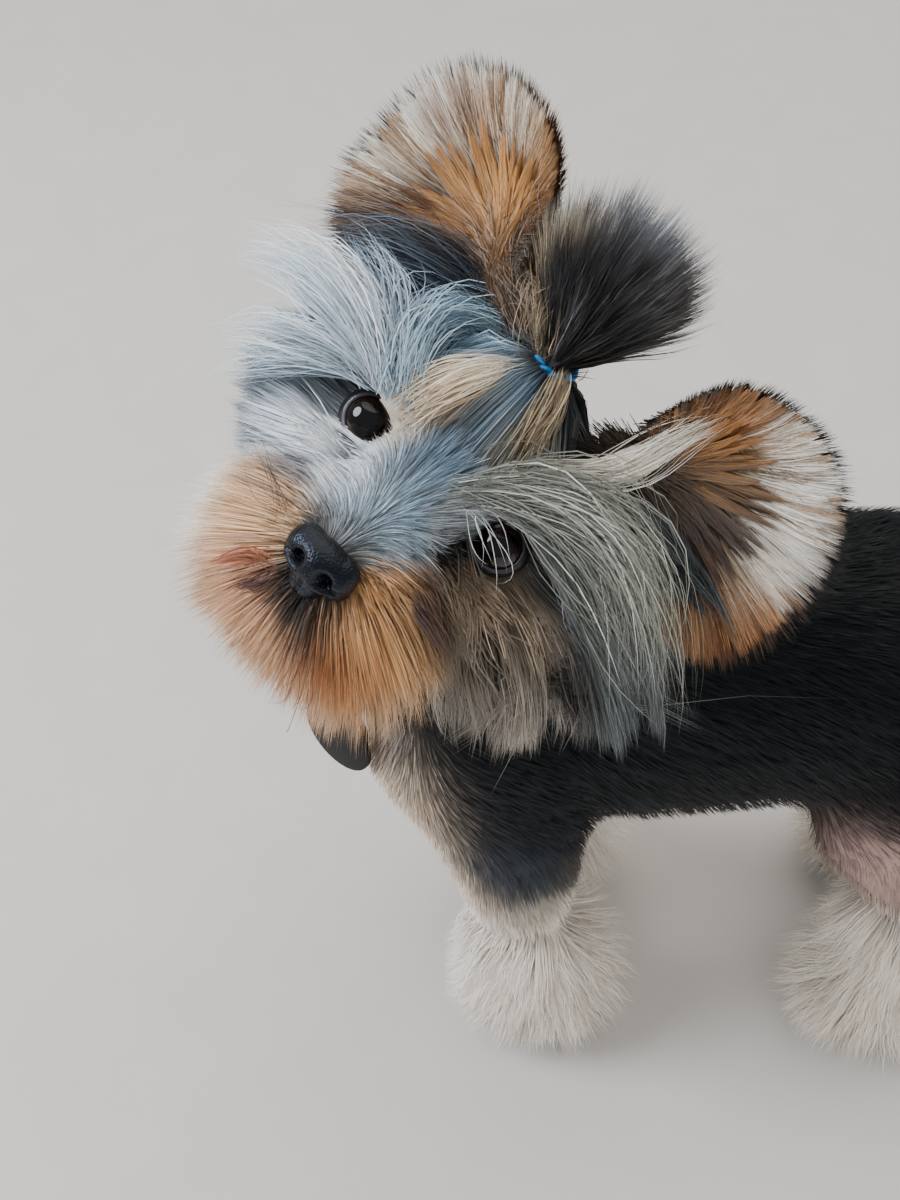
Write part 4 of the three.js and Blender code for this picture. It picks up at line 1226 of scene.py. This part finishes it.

# Loose locks: wisps that have worked free of the combed hair of the face, and one dark lock of painted shadow.
# Pale ones stand out from the right brow, long ones sweep over the left eye, and a wave runs to the left ear.
# Each: points on the head, how many hairs, how thick it is at the root and at the tip, and its colour.
LOOSE_LOCKS_AND_PAINTED_SHADOW = (
    (((-21, 2, 11), (-32, -4, 18), (-50, -8, 22), (-65, -10, 20), (-78, -8, 10)), 170, 3, 6, "#dde9f1"),
    (((-22, 0, 11), (-35, -3, 16), (-52, -6, 18), (-67, -8, 15), (-76, -8, 6)), 150, 3, 6, "#c4d6e2"),
    (((-25, -1, 10), (-37, -3, 10), (-51, -4, 5), (-63, -7, -4), (-68, -6, -14)), 120, 3, 6, "#cbdbe6"),
    (((-28, -2, 9), (-40, -3, 7), (-51, -5, -3), (-59, -9, -14), (-63, -12, -25)), 90, 3, 6, "#b9cad6"),
    (((-20, 3, 13), (-29, -5, 20), (-40, -14, 25), (-51, -17, 27), (-61, -17, 27)), 150, 4, 7, "#9db0c0"),
    (((-10, -30, 34), (-24, -29, 36), (-42, -28, 33), (-60, -26, 25), (-74, -24, 12)), 330, 6, 10, "#4d5b69"),
    (((-12, -33, 38), (-28, -34, 41), (-46, -34, 38), (-64, -32, 28)), 240, 5, 8, "#43372e"),
    (
        ((-18, 3, 13), (-28, -6, 22), (-33, -18, 27), (-27, -27, 33), (-14, -30, 36), (-4, -29, 37)),
        600, 7, 4, "#b4d0e3",
    ),
    (((-15, 5, 10), (-15, 1, 17), (-12, -5, 25), (-8, -12, 30.5), (-4, -20, 34)), 130, 6.5, 2, "#f0e0c8"),
    (((-15, 3, 12), (-13, -1, 20), (-9, -8, 27), (-5, -15, 32)), 90, 7, 3, "#e2ccae"),
    (
        ((7, 9, 6), (14, 6, 17), (25, -4, 25), (39, -17, 22), (55, -17, 16), (73, -16, 5), (82, -18, -9)),
        280, 4, 10, "#90938a",
    ),
    (
        ((12, 7, 11), (22, 2, 17), (34, -9, 17), (48, -14, 9), (61, -14, -1), (72, -14, -15)),
        190, 4, 9, "#767a73",
    ),
    (((8, 9, 8), (18, 3, 19), (31, -9, 21), (46, -15, 14), (60, -15, 4), (73, -15, -8)), 90, 5, 8, "#dfe3de"),
    (
        ((17, -2, 23), (25, -10, 26), (31, -22, 28), (34, -22, 38), (36, -21, 48), (40, -22, 57)),
        230, 2.5, 4, "#e8e2d2",
    ),
    (((14, 5, 24), (10, -11, 31), (5, -22, 36), (2, -28, 38)), 110, 5, 2, "#a8967b"),
    (((-12, -36, 28), (-10, -38, 40), (-9, -39, 50), (-10, -39, 60)), 260, 7, 7, "#6d4c30"),
    (((-16, -36, 30), (-15, -37, 41), (-16, -38, 52)), 160, 6, 7, "#8b6238"),
    (((-4, -34, 28), (-8, -38, 36), (-12, -40, 46)), 180, 7, 7, "#33302f"),
    (((-17.5, 1, -6), (-17, 3, -8), (-16, 6, -11)), 14, 0.9, 0.8, "#23252b"),
    (((-13, 36, -14), (-19, 36, -11.5), (-26, 33, -10), (-32, 29, -9)), 12, 3, 5, "#4d3a33"),
    (((8, 40, -30), (12, 42.5, -36), (14, 42.5, -43), (14, 40, -49)), 14, 5, 5, "#5a2f20"),
    (
        ((-7, 44, -21), (-11, 46, -21), (-14.5, 46.5, -24), (-16, 47, -28), (-18, 47, -31)),
        70, 2.6, 1, "#a9674a",
    ),
    # A dark red-brown lock just below the red curl by the mouth: painted shadow under the curl.
    (((-6, 44, -23), (-7, 44.5, -27), (-9, 44, -30), (-11, 43.5, -33)), 36, 1.8, 1.6, "#57342b"),
    (((21, 29, -10.5), (26, 29, -11), (30, 28, -13), (35, 26, -15)), 60, 1.8, 1.2, "#4d3b35"),
    (((-10, -31, 36), (-17, -30, 43), (-22, -29, 51), (-27, -28, 60), (-31, -28, 68)), 200, 6, 6, "#7d5736"),
    (((-2.5, -27, 35.5), (-6, -22, 43), (-9.5, -15.5, 51), (-13, -9.5, 59)), 130, 2, 6, "#a8967b"),
    (((-1, -26.5, 36), (-2.5, -19.5, 44), (-4, -12, 52), (-6, -6, 60)), 90, 2, 6, "#8b7c68"),
)
# Fine wisps that hang across the left eye
EYE_WISPS = (
    (((11, 9, 7), (16, 6.5, 7), (22, 5, 4), (27, 3, -2), (28.5, 2, -8)), 4, 1.5, 4, "#eef3f5"),
    (((12, 9, 8), (18, 6, 9), (25, 4, 5), (31, 2.5, -1), (32, 1, -8)), 3, 1.5, 4, "#dfe6e8"),
)
FEW_HAIRS = 20
loose = []
for points, count, thick, thin, colour in LOOSE_LOCKS_AND_PAINTED_SHADOW + EYE_WISPS:
    paths = sprig(points, count, thick, thin)
    if count > 30:
        paths = paths[free_of_face(paths, 6.4).all(1)]
    dark_or_pale = np.exp(draw.normal(0, 0.28, (len(paths), 1, 1)))
    colours = toned(paths, np.array(dye(colour)) * dark_or_pale, 0.6, 1.15)
    ways = unit(paths[:, 4] - np.array(on_head(0, -30, -5)))
    patch = unrolled(paths[:, 0], *SKULL_UNROLL)
    loose.append(blades(paths, 0.34 if count > FEW_HAIRS else 0.24, colours, 0.1, patch, roll=0.4, ways=ways))
coat_piece("loose_locks_and_painted_shadow", loose, silky)

# Eyes: dark round balls set in the skull, almost black, with a wet clear front.
# Each lid is a rim of bare dark skin round the ball, drawn out to a corner towards the nose.
# A wet sheen is painted along the lower edge of each lid, pale on the right eye and darkened as painted shade
# on the left.
iris_finish, tree, shader = finish_named(
    "eye", 0.04, **{"Coat Weight": 1.0, "Coat Roughness": 0.02, "Specular IOR Level": 0.05}
)
rings = node(tree, "ShaderNodeValToRGB")
rings.color_ramp.elements[0].color = (*dye("#050404"), 1)
for stop, code in (
    (0.3, "#060404"), (0.36, "#1d0d07"), (0.62, "#120805"), (0.72, "#060405"), (1.0, "#1c100d"),
):
    rings.color_ramp.elements.new(stop).color = (*dye(code), 1)
fleck = node(tree, "ShaderNodeMixRGB", blend_type="MULTIPLY", Fac=0.5)
join(
    tree, (node(tree, "ShaderNodeAttribute", attribute_name="from_pupil"), "Fac", rings, "Fac"),
    (rings, "Color", fleck, "Color1"), (grain_of(tree, Scale=1800, Detail=3), "Fac", fleck, "Color2"),
    (fleck, "Color", shader, "Base Color"),
)
lid_finish, tree, shader = finish_named("lid rim", 0.3)
join(tree, (node(tree, "ShaderNodeVertexColor", layer_name="coat"), "Color", shader, "Base Color"))
raised(tree, shader, grain_of(tree, Scale=700, Detail=4), 0.5, 0.0003)


def fitted(name, shape, finish, matrix, replaced=None):
    """Puts a piece of its own in its place on the dog."""
    mesh = bpy.data.meshes.new(name)
    shape.to_mesh(mesh)
    shape.free()
    mesh.transform(matrix)
    mesh.materials.append(finish)
    in_place(mesh).shade_smooth()
    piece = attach(shown(name, mesh), "root")
    if replaced:
        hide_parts(replaced)
    return piece


def spun(shape, steps):
    """Turns a section once round Z into a closed ring."""
    bmesh.ops.spin(
        shape, geom=shape.verts[:] + shape.edges[:], cent=(0, 0, 0), axis=(0, 0, 1), angle=2 * math.pi,
        steps=steps, use_merge=True,
    )


def mixed(first, second, share):
    """One web colour turned into another by a share."""
    return np.array(dye(first)) * (1 - share) + np.array(dye(second)) * share


def thickened(piece, thickness, offset):
    """Gives a bare surface its thickness, in metres."""
    body = piece.modifiers.new("thickness", "SOLIDIFY")
    body.thickness = thickness
    body.offset = offset


CORNEA_RISE = 0.7
# Colour of each lid's painted sheen: a pale lavender highlight on the right eye, kept dark on the left eye as
# painted shade.
PAINTED_LID_SHEEN = {1: "#3b3a42", -1: "#8a8a9c"}
LID_PROFILE = (
    (5.6, 5.9), (5.75, 6.3), (6.15, 6.55), (6.7, 6.3), (7.3, 5.6), (7.9, 4.4), (8.2, 2.5), (8.2, -1),
)
LID_THICKNESS = 0.6
CORNER_WIDTH, CORNER_REACH, CORNER_DROP = 0.42, 0.22, 1.4
aim = turned_to(GAZE[0])
from_head = aim.to_3x3().inverted() @ HEAD
for name, side in SIDES.items():
    in_socket = Matrix.Translation(Vector(EYE_MIDDLES[side])) @ aim
    eye = bmesh.new()
    bmesh.ops.create_uvsphere(eye, u_segments=48, v_segments=32, radius=EYE_RADIUS)
    for v in eye.verts:
        v.co.z += CORNEA_RISE * stepped(v.co.z, 4.5, 3.7)
    off_axis = [math.acos(max(-1, min(1, v.co.z / v.co.length))) / (math.pi / 2) for v in eye.verts]
    eyeball = fitted(f"eyeball_{name}", eye, iris_finish, in_socket, f"eye_{name}")
    eyeball.data.attributes.new("from_pupil", "FLOAT", "POINT").data.foreach_set("value", off_axis)

    lid = bmesh.new()
    profile = [lid.verts.new((r, 0, z)) for r, z in LID_PROFILE]
    for a, b in zip(profile, profile[1:]):
        lid.edges.new((a, b))
    spun(lid, 48)
    to_nose = from_head @ Vector((-side, -0.3, -0.5))
    downward = from_head @ Vector((0, 0, -1))
    corner_turn, below_turn = (math.atan2(way.y, way.x) for way in (to_nose, downward))
    colours = []
    for v in lid.verts:
        turn = math.atan2(v.co.y, v.co.x)
        nearness = math.exp(-((math.remainder(turn - corner_turn, 2 * math.pi) / CORNER_WIDTH) ** 2))
        edge = math.hypot(v.co.x, v.co.y)
        v.co.x *= 1 + CORNER_REACH * nearness
        v.co.y *= 1 + CORNER_REACH * nearness
        v.co.z -= CORNER_DROP * nearness
        below = (1 + math.cos(turn - below_turn)) / 2
        # The painted sheen lies along the edge of the lower lid and fades towards the corner.
        rim = math.exp(-(((edge - 6.0) / 0.45) ** 2)) * (1 - 0.7 * nearness) * below**1.5
        colours.append(mixed("#141417", PAINTED_LID_SHEEN[side], rim))
    bmesh.ops.recalc_face_normals(lid, faces=lid.faces)
    eyelid = fitted(f"eyelid_{name}", lid, lid_finish, in_socket)
    stain(eyelid.data, np.array(colours))
    thickened(eyelid, LID_THICKNESS * MM, -1)
    smooth = eyelid.modifiers.new("smooth", "SUBSURF")
    smooth.levels = smooth.render_levels = 1

# Nose leather: one firm damp pad, black and pebbled, at the end of the snout.
# Two comma-shaped nostrils and a groove down the middle are pressed into it.
NOSE_VOXEL = 0.45
flesh = bmesh.new()
for centre, radii in (
    ((0, 0, 0), (9, 6, 6.5)), ((5, -1, 0.5), (5, 5, 5.5)), ((-5, -1, 0.5), (5, 5, 5.5)),
    ((0, -1, -5), (5, 4.5, 5)), ((5.6, -2.4, -2.2), (4.2, 5, 3.6)), ((-5.6, -2.4, -2.2), (4.2, 5, 3.6)),
):
    head_ball([a + b for a, b in zip(NOSE, centre)], radii)
nose_mesh = fused(flesh, NOSE_VOXEL, 9)
flesh.free()
spots = points_of(nose_mesh)
local = head_points(spots) - NOSE
inner = np.zeros(len(local))
for side in (1, -1):
    hole = (local - (side * 4.1, 5.4, -0.8)) / (2.3, 4.6, 2.4)
    slit = (local - (side * 6.8, 3.6, -2.0)) / (2.8, 3.4, 1.0)
    for shape, depth in ((hole, 4.4), (slit, 1.5)):
        press = np.exp(-((shape**2).sum(1)) * 1.6)
        local[:, 1] -= depth * press
        inner = np.maximum(inner, press)
groove = np.exp(-((local[:, 0] / 0.55) ** 2)) * (local[:, 2] < 0.5) * (local[:, 1] > 0)
local[:, 1] -= 0.9 * groove
nose_mesh.vertices.foreach_set("co", ((local + NOSE) @ HEAD_AXES + np.array(EYES)).ravel())
# The nostrils and the slits beside them are painted darker inside: painted shade in their hollows.
stain(nose_mesh, mixed("#0c0e12", "#030303", inner[:, None]))
leather, tree, shader = finish_named("nose leather", 0.34, **{"Specular Tint": (*dye("#c4d4ea"), 1)})
pebbles = grain_of(tree, "ShaderNodeTexVoronoi", Scale=1500)
join(
    tree, (node(tree, "ShaderNodeVertexColor", layer_name="coat"), "Color", shader, "Base Color"),
    (limited(tree, pebbles, 0.24, 0.38, "Distance"), "Result", shader, "Roughness"),
)
raised(tree, shader, pebbles, 0.6, 0.00025, "Distance").invert = True
nose_mesh.materials.append(leather)
in_place(nose_mesh).shade_smooth()
nose_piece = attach(shown("nose_leather", nose_mesh), "root")
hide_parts("nose")

# Claws: four on each paw, short and black, half hidden in the hair of the boots.
# Each is a straight tapered spike of horn that points forward and down from its toe.
CLAW_LENGTH, CLAW_ROOT, CLAW_TIP = 5.5, 1.5, 0.35
claw_finish, tree, shader = finish_named("claw horn", 0.3)
ridges = grain_of(tree, Scale=900, Detail=3)
join(tree, (two_tones(tree, ridges, "#141112", "#3a302b"), "Color", shader, "Base Color"))
raised(tree, shader, ridges, 0.3, 0.0002)


def rounded(piece, width, segments=2):
    """Takes the sharp edges off a piece, by a width in metres."""
    rounding = piece.modifiers.new("rounding", "BEVEL")
    rounding.affect, rounding.segments, rounding.profile, rounding.material = "EDGES", segments, 0.5, -1
    rounding.width = width
    rounding.limit_method = "ANGLE"


claws = bmesh.new()
for foot_x, feet, toe_gap, toe_reach in (
    (FORE_FOOT_X, FORE_FOOT_Y, FORE_TOE_GAP, 25.5), (HIND_FOOT_X, HIND_FOOT_Y, HIND_TOE_GAP, 23.5),
):
    for side in (1, -1):
        for toe in TOES:
            place = Vector((side * foot_x + toe * toe_gap, feet[side] - toe_reach + abs(toe) * 3, 4.4))
            bmesh.ops.create_cone(
                claws, cap_ends=True, segments=12, radius1=CLAW_ROOT, radius2=CLAW_TIP, depth=CLAW_LENGTH,
                matrix=Matrix.Translation(place) @ turned_to((toe * 0.1, -1, -0.55)),
            )
rounded(fitted("claws", claws, claw_finish, Matrix()), 0.0003)

# Elastic: a thin blue rubber cord, two strands twisted together, that holds the root of the topknot.
# Its two hoops are wound round each other five times.
LOOP_RADIUS, STRAND, STRAND_GAP, TWISTS = 5.3, 0.72, 0.6, 5


def grained(name, low, high, roughness, scale, depth, **values):
    """A finish whose colour, gloss and surface vary with one fine grain."""
    material, tree, shader = finish_named(name, roughness, **values)
    grain = grain_of(tree, Scale=scale, Detail=6)
    join(
        tree, (two_tones(tree, grain, low, high), "Color", shader, "Base Color"),
        (limited(tree, grain, roughness - 0.08, roughness + 0.14), "Result", shader, "Roughness"),
    )
    raised(tree, shader, grain, 0.4, depth)
    return material, tree, shader


def hoop(shape, radius, wire, steps=64, turns=1, climb=0.0, around=12):
    """A round wire bent into a hoop about Z, or into a coil if it climbs."""
    old = set(shape.verts)
    put = Matrix.Translation((radius, 0, -climb * turns / 2)) @ Matrix.Rotation(math.pi / 2, 4, "X")
    ring = bmesh.ops.create_circle(shape, segments=around, radius=wire, matrix=put)["verts"]
    edges = list({e for v in ring for e in v.link_edges})
    bmesh.ops.spin(
        shape, geom=ring + edges, cent=(0, 0, 0), axis=(0, 0, 1), dvec=(0, 0, climb * turns / steps),
        angle=2 * math.pi * turns, steps=steps, use_merge=climb == 0,
    )
    bmesh.ops.recalc_face_normals(shape, faces=shape.faces)
    return [v for v in shape.verts if v not in old]


band = bmesh.new()
for strand in (0, 1):
    for v in hoop(band, LOOP_RADIUS, STRAND, steps=96):
        turn = math.atan2(v.co.y, v.co.x)
        roll = TWISTS * turn + math.pi * strand
        out = Vector((math.cos(turn), math.sin(turn), 0)) * math.cos(roll)
        v.co += (out + Vector((0, 0, 1)) * math.sin(roll)) * STRAND_GAP
rubber, tree, shader = grained("blue elastic", "#1478c4", "#2a95e0", 0.42, 1600, 0.0002)
on_topknot = Matrix.Translation(band_spot) @ turned_to(top_axis)
fitted("elastic", band, rubber, on_topknot, "topknot_band")

# Collar: a flat woven black strap that lies in the hair of the neck, lower in front.
# A loop of wire is sewn to it at the throat.
COLLAR_ACROSS, COLLAR_ALONG = 38.4, 47.4
STRAP_THICK, STRAP_WIDE = 2.2, 9
weave, tree, shader = grained("black webbing", "#0d0e10", "#26272a", 0.7, 700, 0.0002)
thread = node(tree, "ShaderNodeAttribute", attribute_name="along_strap")
woven = node(tree, "ShaderNodeMath", operation="MAXIMUM")
for socket, way in enumerate("XY"):
    rows = node(tree, "ShaderNodeTexWave", wave_type="BANDS", bands_direction=way, Scale=190, Distortion=0.4)
    join(tree, (thread, "Vector", rows, "Vector"), (rows, "Fac", woven, socket))
raised(tree, shader, woven, 0.8, 0.0004, "Value")
strap = bmesh.new()
section = [
    strap.verts.new((COLLAR_ALONG + x * STRAP_THICK / 2, 0, z * STRAP_WIDE / 2))
    for x, z in ((-1, -1), (1, -1), (1, 1), (-1, 1))
]
for a, b in zip(section, section[1:] + section[:1]):
    strap.edges.new((a, b))
spun(strap, 96)
bmesh.ops.recalc_face_normals(strap, faces=strap.faces)
lengthways = []
for v in strap.verts:
    turn = math.atan2(v.co.y, v.co.x)
    inset = math.hypot(v.co.x, v.co.y) - COLLAR_ALONG
    lengthways.append((turn * COLLAR_ALONG * MM, v.co.z * MM, 0))
    v.co.x = math.cos(turn) * (COLLAR_ACROSS + inset)
    v.co.y = math.sin(turn) * (COLLAR_ALONG + inset)
round_neck = Matrix.Translation(COLLAR_CENTRE) @ Matrix.Rotation(COLLAR_DROP, 4, "X")
collar_piece = fitted("collar_strap", strap, weave, round_neck, "collar")
threads = collar_piece.data.attributes.new("along_strap", "FLOAT_VECTOR", "POINT")
threads.data.foreach_set("vector", np.array(lengthways).ravel())
rounded(collar_piece, 0.0005)

TAGS_FACE = Vector((0.75, -0.66, 0)).normalized()
UP = Vector((0, 0, 1))
LOOP_PLACE = Vector((29.9, -63.8, 162))
WIRE_LOOP_RADIUS, WIRE_LOOP_WIRE = 3.4, 0.7
steel, tree, shader = grained("steel wire", "#8c8d8f", "#b9babc", 0.28, 1800, 0.0001, Metallic=1.0)
wire_loop = bmesh.new()
hoop(wire_loop, WIRE_LOOP_RADIUS, WIRE_LOOP_WIRE, steps=48)
fitted("collar_loop", wire_loop, steel, Matrix.Translation(LOOP_PLACE) @ turned_to(TAGS_FACE))

# Split ring and tags: a coil of spring wire through the loop, and two plain round black tags hung on it.
# The tags are bare, painted metal with a rounded edge.
RING_RADIUS, RING_WIRE = 4.2, 0.32
ring_place = LOOP_PLACE - UP * RING_RADIUS
split_ring = bmesh.new()
hoop(split_ring, RING_RADIUS, RING_WIRE, steps=112, turns=2, climb=RING_WIRE * 1.9)
bmesh.ops.holes_fill(split_ring, edges=[e for e in split_ring.edges if e.is_boundary], sides=0)
through_loop = Matrix.Translation(ring_place) @ turned_to((0.66, 0.75, 0))
fitted("split_ring", split_ring, steel, through_loop, "tag_ring")
enamel, tree, shader = grained(
    "black painted tag", "#050506", "#0b0b0d", 0.5, 1300, 0.00006, **{"Specular IOR Level": 0.22}
)
TAG_THICKNESS, TAG_HOLE, HOLE_INSET = 1.4, 1.6, 2.8
for name, hangs_at, radius in (("tag", -75, 12.5), ("tag_behind", -112, 9)):
    disc = bmesh.new()
    bmesh.ops.create_circle(disc, segments=72, radius=radius)
    hole_in_tag = Matrix.Translation((0, radius - HOLE_INSET, 0))
    bmesh.ops.create_circle(disc, segments=28, radius=TAG_HOLE, matrix=hole_in_tag)
    bmesh.ops.triangle_fill(disc, edges=disc.edges[:], use_beauty=True)
    bmesh.ops.recalc_face_normals(disc, faces=disc.faces)
    angle = math.radians(hangs_at)
    hole = ring_place + TAGS_FACE * RING_RADIUS * math.cos(angle) + UP * RING_RADIUS * math.sin(angle)
    stand = Matrix((UP.cross(TAGS_FACE), UP, TAGS_FACE)).transposed().to_4x4()
    hung = Matrix.Translation(hole + UP * (HOLE_INSET - radius)) @ stand
    tag_piece = fitted(f"{name}_disc", disc, enamel, hung, name)
    thickened(tag_piece, TAG_THICKNESS * MM, 0)
    rounded(tag_piece, 0.0003, 3)
